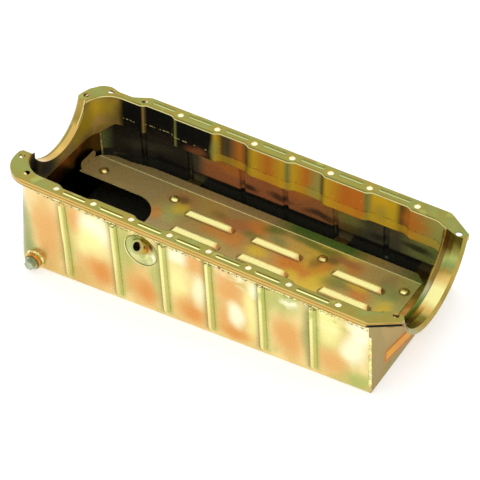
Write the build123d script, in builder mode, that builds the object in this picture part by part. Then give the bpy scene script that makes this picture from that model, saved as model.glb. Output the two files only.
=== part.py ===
from build123d import *
from math import atan2, cos, radians, sin, sqrt, tan
import os

os.makedirs("parts", exist_ok=True)

# Fabricated sheet-steel oil pan for a long V8 engine. A stamped rail frame bolts to the
# crankcase; a welded sump box hangs below it and carries a screwed windage tray.
# The origin lies on the rail plane and the crankshaft centre line, at the middle pair of
# rail bolts. +X runs to the front of the engine, +Z up to the crankcase. "near" names the
# -Y side, with the dipstick pocket and the drain, and "far" the +Y side.

# Sheets and fits
rail_sheet = 1.6
sump_sheet = 1.5
tray_sheet = 1.5
seat_gap = 0.3

# Rail bolts: seven evenly spaced pairs, two more to the front and two more to the rear
bolt_pitch = 61.47
pitch_pairs = 7
bolt_half_spacing = 112.0
bolt_hole = 9.0
shoulder_step = 73.8
nose_step = 73.5
nose_half_spacing = 91.1
hip_step = 53.9
hip_half_spacing = 106.0
ear_step = 26.6
ear_half_spacing = 79.7

first_bolt_x = -bolt_pitch * (pitch_pairs - 1) / 2
pitch_xs = [first_bolt_x + i * bolt_pitch for i in range(pitch_pairs)]
shoulder_x = pitch_xs[-1] + shoulder_step
nose_x = shoulder_x + nose_step
hip_x = first_bolt_x - hip_step
ear_x = hip_x - ear_step
side_xs = pitch_xs + [shoulder_x]
bolt_points = [(x, bolt_half_spacing) for x in side_xs]
bolt_points += [(nose_x, nose_half_spacing), (hip_x, hip_half_spacing), (ear_x, ear_half_spacing)]

# Rail outline
rail_half_width = 124.0
rail_lip = 8.0
ear_edge = 9.5
nose_edge = 12.4
nose_chamfer_length = 39.5
nose_chamfer_depth = 27.0
near_ear_radius = 42.0
nose_radius = 10.0
shoulder_radius = 14.0
hip_radius = 8.0
hip_bow_radius = 18.0
ear_radius = 24.0
scallop_depth = 13.0
scallop_lead = 5.4
scallop_run = 25.0
hip_edge = 10.0

rail_rear_x = ear_x - ear_edge
rail_front_x = nose_x + nose_edge

# Inner skirt of the rail, with the flange alternately wide and narrow along the sides
wide_flange = 23.0
narrow_flange = 18.3
scallop_blend = 8.0
narrow_start = 7.0
narrow_end = 12.0
skirt_depth = 52.0
rear_skirt_depth = 67.0
rear_skirt_radius = 40.0
skirt_corner_radius = 8.0
rear_skirt_ramp = 28.0
ear_width = 17.5
bend_radius = 3.6

skirt_wide_y = rail_half_width - wide_flange
skirt_narrow_y = rail_half_width - narrow_flange
skirt_rear_x = rail_rear_x + ear_width

# Seal saddles: round troughs across both ends, around axes along X
rear_seal_radius = 73.0
rear_seal_height = 25.0
rear_lip_rise = 4.5
rear_lip_length = 3.9
front_seal_radius = 88.4
front_seal_height = 19.0
front_lip_rise = 5.6
front_lip_length = 3.9
front_band = 11.6
front_flare_rise = 6.1
front_flare_length = 16.2

flare_start_x = rail_front_x - front_lip_length - front_band
skirt_front_x = flare_start_x - front_flare_length
flare_radius = front_seal_radius + front_flare_rise
skirt_front_y = sqrt(flare_radius**2 - front_seal_height**2)
skirt_shoulder_x = skirt_front_x - 1.15 * front_flare_length

# Stiffening beads pressed into the flange between neighbouring bolts
bead_width = 5.5
bead_depth = 0.9
bead_inset = 8.6
bead_margin = 12.0
bead_y = rail_half_width - bead_inset

# Sump box, square to its sloping floor
floor_depth = 148.1
floor_slope = 3.4
sump_half_width = 120.2
sump_front = 317.1
sump_rear = 260.2
tub_headroom = 29.9
fold_radius = 4.0
near_corner_low = 26.0
near_corner_high = 74.0
far_corner_radius = 46.0
far_jog_depth = 13.2
far_jog_start = 95.0
far_jog_length = 36.0
jog_fold_radius = 12.0
end_plate_half_width = 91.0
end_plate_foot = 14.0
corner_cope = 5.0

# Height of the walls over the floor before they are trimmed to the rail plane
tub_height = floor_depth + tub_headroom

# Flutes: hollow upright ridges pressed outward in both side walls
flute_radius = 6.2
flute_sink = 1.7
flute_foot = 9.0
flute_head = 13.0
near_flute_stations = (-164.1, -79.0, -0.6, 72.1, 154.5, 232.1)
far_flute_stations = (-184.0, -108.5, -19.6, 52.3, 134.1, 215.0)

# Windage tray
tray_depth = 110.0
tray_flat_half_width = 84.0
tray_half_width = 105.5
tray_edge_drop = 5.0
tray_rear_gap = 7.5
tray_front_gap = 29.0
tray_front_bevel = 16.0
tray_corner_radius = 34.0
tray_bevel_radius = 3.0
tray_jog_radius = 6.0
tray_far_trim = 7.0
pickup_slot_half_width = 39.5
pickup_slot_end = 112.0
tab_height = 12.0
tab_inner_y = 43.0
tab_outer_y = 80.0
tab_corner = 6.0
louvre_length = 80.0
louvre_width = 10.5
louvre_rise = 4.5
louvre_sheet = 1.2
louvre_xs = (-31.0, 79.5, 210.0)
louvre_row_pitch = 41.0
louvre_rows = 3

# Tray supports and screws
support_leg = 22.0
support_drop = 24.0
ledge_drop = 14.0
near_bracket_trim = 3.0
far_bracket_trim = 5.0
rear_support_x = -224.4
rear_bar_x = -101.4
front_bar_x = 144.6
front_ledge_screw_x = 273.6
ledge_reach = 10.0
screw_y = 58.0
screw_radius = 3.0
screw_clearance = 0.3
screw_length = 13.0
screw_head_radius = 6.5
screw_head_height = 3.2
screw_slot = 1.2
nut_width = 10.0
nut_height = 5.0

# Dipstick pocket and boss on the near side
pocket_x = -42.0
pocket_depth_z = 42.5
pocket_radius = 27.5
pocket_sink = 9.0
boss_x = -48.0
boss_depth_z = 41.0
boss_radius = 10.5
boss_bore = 12.5
boss_stand_off = 4.5
boss_face = 5.0
boss_tail = 16.0
boss_tilt = 35.0
boss_turn = 12.0

# Drain on the near side
drain_x = -224.4
drain_depth_z = 145.0
bung_radius = 12.5
bung_length = 16.0
bung_stand_off = 8.0
drain_thread = 18.0
washer_radius = 12.0
washer_thickness = 1.5
plug_flange_radius = 10.5
plug_flange_thickness = 2.0
plug_hex = 14.0
plug_hex_height = 7.0
plug_shank = 12.0
plug_clearance = 0.15

# Weld beads
weld_size = 4.2
corner_weld_radius = 2.2
seam_weld_radius = 2.5
seam_weld_foot = 16.0
seam_weld_head = 90.0
drain_weld_radius = 2.4

slope = radians(floor_slope)
sump_plane = Plane(
    origin=(0, 0, -floor_depth),
    x_dir=(cos(slope), 0, sin(slope)),
    z_dir=(-sin(slope), 0, cos(slope)),
)
sump_up = Axis(sump_plane.origin, sump_plane.z_dir)
boss_plane = Plane(
    origin=(boss_x, pocket_sink - sump_half_width - boss_stand_off, -boss_depth_z),
    x_dir=(cos(radians(boss_turn)), -sin(radians(boss_turn)), 0),
    z_dir=(
        -sin(radians(boss_turn)) * cos(radians(boss_tilt)),
        -cos(radians(boss_turn)) * cos(radians(boss_tilt)),
        sin(radians(boss_tilt)),
    ),
)
boss_axis = Axis(boss_plane.origin, boss_plane.z_dir)
jog_angle = atan2(far_jog_depth, far_jog_length)
cut_size = 2 * (rail_front_x - rail_rear_x)


def height_over_floor(station, drop):
    """Height square to the floor, at a station along it, of a point that drop below the rail plane."""
    return (floor_depth - drop - station * sin(slope)) / cos(slope)


def wall_x(station, drop):
    """X of a plane square to the floor at a station along it, at a drop below the rail plane."""
    return (station - (floor_depth - drop) * sin(slope)) / cos(slope)


def far_wall_y(station):
    """Y of the outer face of the far side wall at a station along the floor."""
    jog_front = far_jog_start - sump_rear
    into_jog = min(max(jog_front - station, 0), far_jog_length)
    return sump_half_width - into_jog * tan(jog_angle)


def rail_outline():
    """Closed outline of the rail flange, with the scalloped ear on the far side only."""
    near_nose_y = nose_chamfer_depth - rail_half_width
    far_nose_y = rail_half_width - nose_chamfer_depth
    nose_shoulder_x = rail_front_x - nose_chamfer_length
    scallop_y = rail_half_width - scallop_depth
    FilletPolyline(
        (rail_front_x, far_nose_y),
        (nose_shoulder_x, rail_half_width),
        (first_bolt_x + scallop_lead, rail_half_width),
        (first_bolt_x + scallop_lead - scallop_run, scallop_y),
        (hip_x + hip_edge, scallop_y),
        (hip_x - 0.6 * hip_edge, hip_half_spacing + hip_edge),
        (hip_x - 2 * hip_edge, hip_half_spacing + 0.4 * hip_edge),
        (ear_x - 0.5 * ear_edge, ear_half_spacing + 1.6 * ear_edge),
        (rail_rear_x, ear_half_spacing - 0.2 * ear_edge),
        (rail_rear_x, -rail_half_width),
        (nose_shoulder_x, -rail_half_width),
        (rail_front_x, near_nose_y),
        radius=[
            nose_radius, shoulder_radius, shoulder_radius, nose_radius, hip_bow_radius,
            hip_bow_radius, ear_radius, nose_radius, near_ear_radius, nose_radius,
        ],
    )
    Line((rail_front_x, near_nose_y), (rail_front_x, far_nose_y))


def skirt_side(side):
    """Points of the inner skirt along one side, from the rear to the front."""
    points = [(skirt_rear_x, side * skirt_wide_y)]
    for start in range(0, len(side_xs) - 1, 2):
        narrow_from = side_xs[start] + narrow_start
        narrow_to = side_xs[start + 1] - narrow_end
        points.append((narrow_from - scallop_blend, side * skirt_wide_y))
        points.append((narrow_from, side * skirt_narrow_y))
        points.append((narrow_to, side * skirt_narrow_y))
        points.append((narrow_to + scallop_blend, side * skirt_wide_y))
    points.append((skirt_shoulder_x, side * skirt_wide_y))
    points.append((skirt_front_x, side * skirt_front_y))
    return points


def skirt_outline():
    """Closed inner outline of the skirt: scalloped sides, round rear corners, angled front ones."""
    near = skirt_side(-1)
    far = skirt_side(1)
    radii = [skirt_corner_radius] * (len(near) - 1)
    FilletPolyline(
        near[-1],
        *reversed(near[1:-1]),
        near[0],
        far[0],
        *far[1:-1],
        far[-1],
        radius=radii[:-1] + [rear_skirt_radius, rear_skirt_radius] + radii[:-1],
    )
    Line(far[-1], near[-1])


def sump_section(height, inset):
    """Section of the sump box at a height over its floor plane, drawn in by inset."""
    share = height / tub_height
    near_radius = near_corner_low + (near_corner_high - near_corner_low) * share - inset
    front = sump_front
    rear = inset - sump_rear
    side = sump_half_width - inset
    jog_front = far_jog_start - sump_rear + inset * tan(jog_angle / 2)
    jog_y = side - far_jog_depth
    with BuildSketch(sump_plane.offset(height)) as section:
        with BuildLine():
            FilletPolyline(
                (front, -side),
                (rear, -side),
                (rear, jog_y),
                (jog_front - far_jog_length, jog_y),
                (jog_front, side),
                (front, side),
                radius=[near_radius, far_corner_radius - inset, jog_fold_radius, jog_fold_radius],
            )
            Line((front, side), (front, -side))
        make_face()
    return section.sketch


def sump_block(inset, lowest):
    """Solid sump box drawn in by inset all round, with folds at its foot and the flutes added."""
    with BuildPart() as block:
        loft([sump_section(lowest, inset), sump_section(tub_height, inset)], ruled=True)
        foot = block.faces().sort_by(sump_up)[0]
        folds = foot.edges().sort_by(Axis.X)[:-1]
        fillet(folds, radius=fold_radius - inset)
        radius = flute_radius - inset
        for side, stations in ((-1, near_flute_stations), (1, far_flute_stations)):
            for station in stations:
                wall_y = sump_half_width if side < 0 else far_wall_y(station)
                head = height_over_floor(station, flute_head) - flute_radius
                foot_height = flute_foot + flute_radius
                y = side * (wall_y - flute_sink)
                middle = (head + foot_height) / 2
                with Locations(sump_plane.location * Location((station, y, middle))):
                    Cylinder(radius, head - foot_height)
                for end in (foot_height, head):
                    with Locations(sump_plane.location * Location((station, y, end), (90, 0, 0))):
                        Sphere(radius)
    return block.part


def seal_profile(points, height, thickness):
    """Face in the XZ plane between a saddle's line of (x, radius) points and its axis or its back."""
    with BuildSketch(Plane.XZ) as profile:
        with BuildLine():
            inner = [(x, height - radius) for x, radius in points]
            if thickness:
                outer = [(x, z - thickness) for x, z in reversed(inner)]
            else:
                outer = [(points[-1][0], height), (points[0][0], height)]
            Polyline(*inner, *outer, close=True)
        make_face()
    return profile.sketch


def support_section(y_from, y_to, drop):
    """Section across the box right under the tray, following its folded edge, down to a drop.

    A drop of zero gives the sheet of the top leg alone.
    """
    fall = tray_edge_drop / (tray_half_width - tray_flat_half_width)
    top = -tray_depth - tray_sheet
    bends = [y for y in (-tray_flat_half_width, tray_flat_half_width) if y_from < y < y_to]
    upper = [(y, top - max(abs(y) - tray_flat_half_width, 0) * fall) for y in [y_from, *bends, y_to]]
    if drop:
        lower = [(y_to, top - drop), (y_from, top - drop)]
    else:
        lower = [(y, z - tray_sheet) for y, z in reversed(upper)]
    Polygon(*upper, *lower, align=None)


def louvre_trapezoid(half_length, rise):
    """Side view of a louvre hood with sloping ends, from under the sheet up to its rise."""
    Polygon(
        (-half_length, -2 * tray_sheet),
        (-half_length, 0),
        (1.2 * louvre_rise - half_length, rise),
        (half_length - 1.2 * louvre_rise, rise),
        (half_length, 0),
        (half_length, -2 * tray_sheet),
        align=None,
    )


# Rail frame: flange with a turned-down edge, scalloped inner skirt and both seal saddles
skirt_end_x = wall_x(sump_front - sump_sheet, 0) - seat_gap
rear_seal_points = [
    (rail_rear_x, rear_seal_radius + rear_lip_rise),
    (rail_rear_x + rear_lip_length, rear_seal_radius),
    (skirt_rear_x, rear_seal_radius),
]
front_seal_points = [
    (skirt_front_x, flare_radius),
    (flare_start_x, front_seal_radius),
    (rail_front_x - front_lip_length, front_seal_radius),
    (rail_front_x, front_seal_radius + front_lip_rise),
]
seals = ((rear_seal_points, rear_seal_height), (front_seal_points, front_seal_height))

saddles = []
for points, height in seals:
    with BuildPart() as saddle:
        add(seal_profile(points, height, rail_sheet))
        revolve(axis=Axis((0, 0, height), (1, 0, 0)))
        split(bisect_by=Plane.XY, keep=Keep.BOTTOM)
    saddles.append(saddle.part)

with BuildPart() as rail_frame:
    with BuildSketch(Plane.XY):
        with BuildLine():
            rail_outline()
        make_face()
    extrude(amount=-rail_lip)
    with BuildSketch(Plane.XY.offset(-rail_lip)):
        with BuildLine():
            rail_outline()
        make_face()
        offset(amount=-rail_sheet, mode=Mode.REPLACE)
    extrude(amount=rail_lip - rail_sheet, mode=Mode.SUBTRACT)
    with BuildSketch(Plane.XY.offset(-rear_skirt_depth)):
        with BuildLine():
            skirt_outline()
        make_face()
        offset(amount=rail_sheet, mode=Mode.REPLACE)
    extrude(amount=rear_skirt_depth - rail_sheet)
    under_bend = rail_frame.edges(Select.LAST).group_by(Axis.Z)[-1]
    fillet(under_bend, radius=bend_radius - rail_sheet)
    with BuildSketch(Plane.XY):
        with BuildLine():
            skirt_outline()
        make_face()
    extrude(amount=-2 * rear_skirt_depth, mode=Mode.SUBTRACT)
    over_bend = rail_frame.edges(Select.LAST).group_by(Axis.Z)[-1]
    fillet(over_bend, radius=bend_radius)
    with BuildSketch(Plane.XZ):
        Polygon(
            (skirt_rear_x - rail_sheet, -2 * rear_skirt_depth),
            (skirt_rear_x - rail_sheet, -rear_skirt_depth),
            (skirt_rear_x + 0.3 * rear_skirt_ramp, -rear_skirt_depth),
            (skirt_rear_x + rear_skirt_ramp, -skirt_depth),
            (skirt_end_x, -skirt_depth),
            (skirt_end_x, -rail_lip),
            (rail_front_x, -rail_lip),
            (rail_front_x, -2 * rear_skirt_depth),
            align=None,
        )
    extrude(amount=rail_half_width, both=True, mode=Mode.SUBTRACT)
    for points, height in seals:
        seal_axis = Axis((0, 0, height), (1, 0, 0))
        add(seal_profile(points, height, 0))
        revolve(axis=seal_axis, mode=Mode.SUBTRACT)
    add(saddles)
    for top, growth, mode in ((-rail_sheet, bead_depth, Mode.ADD), (0, 0, Mode.SUBTRACT)):
        with BuildSketch(Plane.XY.offset(top)):
            for start, stop in zip(side_xs[:-1], side_xs[1:]):
                length = stop - start - 2 * bead_margin + growth
                with Locations(*[((start + stop) / 2, side * bead_y) for side in (-1, 1)]):
                    SlotOverall(length, bead_width + growth)
        extrude(amount=-bead_depth, mode=mode)
    with Locations(*[(x, side * y) for x, y in bolt_points for side in (-1, 1)]):
        Hole(bolt_hole / 2, depth=2 * rail_sheet)
    with Locations(boss_plane.offset(-boss_tail).location):
        Cylinder(boss_bore / 2 + seat_gap, 2 * boss_tail, mode=Mode.SUBTRACT)

rail_frame.part.label = "rail_frame"
export_step(rail_frame.part, "parts/rail_frame.step")

# Sump box: one bent sheet for the floor and both sides, and two end plates
outer_block = sump_block(0, 0)
inner_block = sump_block(sump_sheet, sump_sheet)

with BuildPart() as tub:
    add(outer_block)
    add(inner_block, mode=Mode.SUBTRACT)
    with Locations((0, 0, cut_size / 2 - rail_sheet)):
        Box(2 * cut_size, cut_size, cut_size, mode=Mode.SUBTRACT)

seal_clearance = seat_gap + rail_sheet
with BuildPart() as rear_zone:
    zone_length = 2 * end_plate_foot
    zone_middle = end_plate_foot - sump_rear - zone_length / 2
    with Locations(sump_plane.location * Location((zone_middle, 0, tub_height / 2 - zone_length))):
        Box(zone_length, 2 * end_plate_half_width, tub_height + zone_length)


with BuildPart() as rear_end_plate:
    add(tub.part)
    add(rear_zone.part, mode=Mode.INTERSECT)
    with Locations(Location((rail_rear_x, 0, rear_seal_height), (0, 90, 0))):
        Cylinder(rear_seal_radius + seal_clearance, 4 * zone_length, mode=Mode.SUBTRACT)

cope_depth = rail_lip + seat_gap
cope_x = wall_x(sump_front, 0)
cope_y = sump_half_width - sump_sheet - seat_gap + corner_cope / 2
cope_places = [(cope_x, side * cope_y, 0) for side in (-1, 1)]

with BuildPart() as front_end_plate:
    with BuildSketch(Plane(origin=sump_plane.from_local_coords((sump_front, 0, 0)),
                           x_dir=(0, 1, 0), z_dir=sump_plane.x_dir)):
        with Locations((0, tub_height / 2)):
            blank = Rectangle(2 * sump_half_width, tub_height)
        fillet(blank.vertices().group_by(Axis.Y)[0], radius=fold_radius)
    extrude(amount=-sump_sheet)
    with Locations((0, 0, cut_size / 2 - rail_sheet)):
        Box(2 * cut_size, cut_size, cut_size, mode=Mode.SUBTRACT)
    with Locations((skirt_front_x, 0, 0)):
        Box(end_plate_foot, 2 * skirt_wide_y, 2 * cope_depth, mode=Mode.SUBTRACT)
    with Locations(*cope_places):
        Box(2 * corner_cope, corner_cope, 2 * cope_depth, mode=Mode.SUBTRACT)
    with Locations(Location((skirt_front_x, 0, front_seal_height), (0, 90, 0))):
        Cylinder(flare_radius + seal_clearance, end_plate_foot, mode=Mode.SUBTRACT)

with BuildPart() as sump_wrap:
    add(tub.part)
    add(rear_zone.part, mode=Mode.SUBTRACT)
    with BuildSketch(sump_plane.offset(-fold_radius)):
        with Locations((sump_front - sump_sheet + cut_size / 2, 0)):
            Rectangle(cut_size, cut_size)
    extrude(amount=tub_height + 2 * fold_radius, mode=Mode.SUBTRACT)
    with Locations(*cope_places):
        Box(2 * corner_cope, corner_cope, 2 * cope_depth, mode=Mode.SUBTRACT)
    with Locations(Location((pocket_x, -sump_half_width, -pocket_depth_z), (90, 0, 0))):
        Cylinder(pocket_radius + seat_gap, 4 * fold_radius, mode=Mode.SUBTRACT)
    with Locations(Location((drain_x, -sump_half_width, -drain_depth_z), (90, 0, 0))):
        Cylinder(bung_radius + seat_gap, 4 * fold_radius, mode=Mode.SUBTRACT)

# Dipstick pocket: a round dish sunk into the near wall, with a tilted boss through its bottom
with BuildPart() as dipstick_pocket:
    with BuildSketch(Plane(origin=(pocket_x, -sump_half_width, -pocket_depth_z), x_dir=(1, 0, 0),
                           z_dir=(0, 0, 1))):
        with BuildLine():
            rim = (pocket_radius, 0)
            rim_back = (pocket_radius, sump_sheet)
            ThreePointArc(rim, (0.62 * pocket_radius, 0.72 * pocket_sink), (0, pocket_sink))
            Line((0, pocket_sink), (0, pocket_sink + sump_sheet))
            ThreePointArc(
                (0, pocket_sink + sump_sheet),
                (0.62 * pocket_radius, 0.72 * pocket_sink + sump_sheet),
                rim_back,
            )
            Line(rim_back, rim)
        make_face()
    revolve(axis=Axis((pocket_x, 0, -pocket_depth_z), (0, 1, 0)))
    with Locations(boss_plane.location):
        Cylinder(boss_radius + seat_gap, 4 * boss_tail, mode=Mode.SUBTRACT)

with BuildPart() as dipstick_boss:
    with BuildSketch(boss_plane.offset(boss_face)):
        Circle(boss_radius)
        Circle(boss_bore / 2, mode=Mode.SUBTRACT)
    extrude(amount=-boss_face - boss_tail)
    boss_back_y = -skirt_narrow_y - rail_sheet - 2 * seat_gap
    split(bisect_by=Plane.XZ.offset(-boss_back_y), keep=Keep.TOP)
    boss_rims = dipstick_boss.edges().filter_by(GeomType.CIRCLE).group_by(boss_axis)[-1]
    chamfer(boss_rims.sort_by(SortBy.RADIUS)[-1], length=1)

# Drain: threaded bung welded into the near wall, with a washer and a flanged hex plug
bung_face = Plane(
    origin=(drain_x, -sump_half_width - bung_stand_off, -drain_depth_z),
    x_dir=(1, 0, 0),
    z_dir=(0, -1, 0),
)
with BuildPart() as drain_bung:
    with BuildSketch(bung_face):
        Circle(bung_radius)
        Circle(drain_thread / 2, mode=Mode.SUBTRACT)
    extrude(amount=-bung_length)
    chamfer(drain_bung.edges().filter_by(GeomType.CIRCLE).sort_by(Axis.Y)[0], length=1)

with BuildPart() as drain_washer:
    with BuildSketch(bung_face):
        Circle(washer_radius)
        Circle(drain_thread / 2 + seat_gap, mode=Mode.SUBTRACT)
    extrude(amount=washer_thickness)

with BuildPart() as drain_plug:
    with BuildSketch(bung_face.offset(washer_thickness)):
        Circle(plug_flange_radius)
    extrude(amount=plug_flange_thickness)
    with BuildSketch(bung_face.offset(washer_thickness + plug_flange_thickness)):
        RegularPolygon(plug_hex / 2, 6, major_radius=False)
    extrude(amount=plug_hex_height)
    with BuildSketch(bung_face.offset(washer_thickness)):
        Circle(drain_thread / 2 - plug_clearance)
    extrude(amount=-plug_shank)
    chamfer(drain_plug.faces().sort_by(Axis.Y)[0].edges(), length=0.8)

# Windage tray: folded sheet with raised louvres, the pickup slot and two upturned rear tabs
tray_rear_x = wall_x(-sump_rear, tray_depth) + tray_rear_gap
tray_front_x = wall_x(sump_front, tray_depth) - tray_front_gap
pickup_slot_x = -pickup_slot_end - pickup_slot_half_width
jog_front_x = wall_x(far_jog_start - sump_rear, tray_depth)

tray_upper = [
    (-tray_half_width, -tray_depth - tray_edge_drop),
    (-tray_flat_half_width, -tray_depth),
    (tray_flat_half_width, -tray_depth),
    (tray_half_width, -tray_depth - tray_edge_drop),
]
tray_lower = [(y, z - tray_sheet) for y, z in reversed(tray_upper)]
louvre_ys = [(row - (louvre_rows - 1) / 2) * louvre_row_pitch for row in range(louvre_rows)]
louvre_places = [(x, y, -tray_depth) for x in louvre_xs for y in louvre_ys]
support_xs = (rear_support_x, rear_bar_x, front_bar_x, front_ledge_screw_x)
screw_points = [(x, side * screw_y) for x in support_xs for side in (-1, 1)]

with BuildPart() as louvre_hood:
    with BuildSketch(Plane.YZ.offset(-louvre_length / 2)):
        with BuildLine():
            foot = (-louvre_width / 2, -tray_sheet / 2)
            crown = (louvre_width / 2, louvre_rise)
            ThreePointArc(foot, (-0.1 * louvre_width, 0.72 * louvre_rise), crown)
            Line(crown, (louvre_width / 2, -tray_sheet / 2))
            Line((louvre_width / 2, -tray_sheet / 2), foot)
        make_face()
    extrude(amount=louvre_length)
    with BuildSketch(Plane.XZ):
        louvre_trapezoid(louvre_length / 2, louvre_rise)
    extrude(amount=louvre_width, both=True, mode=Mode.INTERSECT)

with BuildPart() as louvre_mouth:
    with BuildSketch(Plane.YZ.offset(-louvre_length / 2 + louvre_sheet)):
        with BuildLine():
            foot = (2 * louvre_sheet - louvre_width / 2, -2 * tray_sheet)
            spring = (2 * louvre_sheet - louvre_width / 2, 0)
            crown = (louvre_width, louvre_rise - louvre_sheet)
            Line(foot, spring)
            ThreePointArc(spring, (0.1 * louvre_width, 0.6 * louvre_rise), crown)
            Line(crown, (louvre_width, 0))
            Line((louvre_width, 0), (louvre_width / 2, 0))
            Line((louvre_width / 2, 0), (louvre_width / 2, -2 * tray_sheet))
            Line((louvre_width / 2, -2 * tray_sheet), foot)
        make_face()
    extrude(amount=louvre_length - 2 * louvre_sheet)
    with BuildSketch(Plane.XZ):
        louvre_trapezoid(louvre_length / 2 - 1.6 * louvre_sheet, louvre_rise - louvre_sheet)
    extrude(amount=louvre_width, both=True, mode=Mode.INTERSECT)

with BuildPart() as windage_tray:
    with BuildSketch(Plane.YZ.offset(tray_rear_x)):
        Polygon(*tray_upper, *tray_lower, align=None)
    extrude(amount=tray_front_x - tray_rear_x)
    with BuildSketch(Plane.XY.offset(-2 * tray_depth)):
        with BuildLine():
            far_rear_y = tray_half_width - tray_far_trim
            FilletPolyline(
                (tray_front_x, tray_half_width - tray_front_bevel),
                (tray_front_x - tray_front_bevel, tray_half_width),
                (jog_front_x, tray_half_width),
                (jog_front_x - far_jog_length, far_rear_y),
                (tray_rear_x, far_rear_y),
                (tray_rear_x, -tray_half_width),
                (tray_front_x - tray_front_bevel, -tray_half_width),
                (tray_front_x, tray_front_bevel - tray_half_width),
                radius=[
                    tray_bevel_radius, tray_jog_radius, tray_jog_radius,
                    tray_corner_radius, tray_corner_radius, tray_bevel_radius,
                ],
            )
            Line(
                (tray_front_x, tray_front_bevel - tray_half_width),
                (tray_front_x, tray_half_width - tray_front_bevel),
            )
        make_face()
    extrude(amount=2 * tray_depth, mode=Mode.INTERSECT)
    for side in (-1, 1):
        with BuildSketch(Plane.YZ.offset(tray_rear_x)):
            tab_y = side * (tab_inner_y + tab_outer_y) / 2
            with Locations((tab_y, (tab_height - tray_sheet) / 2 - tray_depth)):
                RectangleRounded(tab_outer_y - tab_inner_y, tab_height + tray_sheet, tab_corner)
        extrude(amount=tray_sheet)
    with BuildSketch(Plane.XY.offset(-tray_depth)):
        with Locations((pickup_slot_x, 0)):
            Circle(pickup_slot_half_width)
        with Locations(((pickup_slot_x + tray_rear_x) / 2, 0)):
            Rectangle(pickup_slot_x - tray_rear_x + tray_sheet, 2 * pickup_slot_half_width)
    extrude(amount=tab_height, both=True, mode=Mode.SUBTRACT)
    with Locations(*louvre_places):
        add(louvre_hood.part)
    with Locations(*louvre_places):
        add(louvre_mouth.part, mode=Mode.SUBTRACT)
    with Locations(*[(x, y, -tray_depth) for x, y in screw_points]):
        Cylinder(screw_radius + screw_clearance, 4 * tray_sheet, mode=Mode.SUBTRACT)

# Supports under the tray: two angle bars across the box, two short rear brackets and a front ledge
bar_half_span = sump_half_width - sump_sheet - seat_gap
under_tray = -tray_depth - tray_sheet


def support(name, x_from, x_to, y_from, y_to, drop):
    """Angle under the tray: a top leg that follows the tray and a web down its front edge."""
    with BuildPart() as angle:
        with BuildSketch(Plane.YZ.offset(x_from)):
            support_section(y_from, y_to, 0)
        extrude(amount=x_to - x_from)
        with BuildSketch(Plane.YZ.offset(x_to - tray_sheet)):
            support_section(y_from, y_to, drop)
        extrude(amount=tray_sheet)
        with Locations(*[(x, y, under_tray) for x, y in screw_points if x_from < x < x_to]):
            Cylinder(screw_radius + screw_clearance, 4 * tray_sheet, mode=Mode.SUBTRACT)
    angle.part.label = name
    export_step(angle.part, f"parts/{name}.step")


leg = support_leg / 2
near_end = -bar_half_span + near_bracket_trim
far_end = bar_half_span - far_jog_depth - far_bracket_trim
ledge_front_x = wall_x(sump_front - sump_sheet, tray_depth) - seat_gap
ledge_rear_x = front_ledge_screw_x - ledge_reach
support("tray_bracket_near", rear_support_x - leg, rear_support_x + leg, near_end, -tab_inner_y, support_drop)
support("tray_bracket_far", rear_support_x - leg, rear_support_x + leg, tab_inner_y, far_end, support_drop)
for name, bar_x in (("cross_bar_rear", rear_bar_x), ("cross_bar_front", front_bar_x)):
    support(name, bar_x - leg, bar_x + leg, -bar_half_span, bar_half_span, support_drop)
support("tray_ledge_front", ledge_rear_x, ledge_front_x, -bar_half_span, bar_half_span, ledge_drop)

# Tray screws with slotted dome heads, and the weld nuts under the supports
with BuildPart() as tray_screw:
    with BuildSketch(Plane.XZ):
        with BuildLine():
            Line((0, screw_head_height), (0, 0))
            Line((0, 0), (screw_head_radius, 0))
            ThreePointArc(
                (screw_head_radius, 0),
                (0.72 * screw_head_radius, 0.72 * screw_head_height),
                (0, screw_head_height),
            )
        make_face()
    revolve(axis=Axis.Z)
    with Locations((0, 0, -screw_length / 2)):
        Cylinder(screw_radius, screw_length)
    with Locations((0, 0, screw_head_height)):
        Box(2 * screw_head_radius, screw_slot, screw_head_height, mode=Mode.SUBTRACT)

with BuildPart() as weld_nut:
    with BuildSketch():
        RegularPolygon(nut_width / 2, 6, major_radius=False)
        Circle(screw_radius + screw_clearance / 2, mode=Mode.SUBTRACT)
    extrude(amount=-nut_height)

for number, (x, y) in enumerate(screw_points, start=1):
    for name, piece, z in (
        ("tray_screw", tray_screw, -tray_depth),
        ("weld_nut", weld_nut, under_tray - tray_sheet),
    ):
        placed = Pos(x, y, z) * piece.part
        placed.label = f"{name}_{number}"
        export_step(placed, f"parts/{placed.label}.step")

# Weld beads: along the rail's edge, up the front corners, down the rear seam, round the bung
weld_front_x = rail_front_x - nose_chamfer_length - weld_size
weld_rear_near_x = near_corner_high - sump_rear
weld_rear_far_x = first_bolt_x + scallop_lead + weld_size


def rail_weld(side, rear_x):
    """Quarter-round bead in the corner of the rail's turned-down edge and the side wall."""
    with BuildPart() as bead:
        with BuildSketch(Plane.YZ.offset(rear_x)):
            with BuildLine():
                corner = (side * sump_half_width, -rail_lip)
                toe = (side * sump_half_width, -rail_lip - weld_size)
                brim = (side * (sump_half_width + weld_size), -rail_lip)
                Line(corner, toe)
                RadiusArc(toe, brim, side * weld_size)
                Line(brim, corner)
            make_face()
        extrude(amount=weld_front_x - rear_x)
    return bead.part


def corner_weld(side):
    """Round bead up the joint of the front plate and a side wall."""
    top = height_over_floor(sump_front, rail_lip + weld_size)
    bottom = fold_radius
    with BuildPart() as bead:
        centre = Location((sump_front, side * sump_half_width, (top + bottom) / 2))
        with Locations(sump_plane.location * centre):
            Cylinder(corner_weld_radius, top - bottom)
        middle = sump_front - corner_weld_radius
        with Locations(sump_plane.location * Location((middle, 0, tub_height / 2))):
            Box(2 * corner_weld_radius, 2 * sump_half_width, tub_height, mode=Mode.SUBTRACT)
    return bead.part


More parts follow.
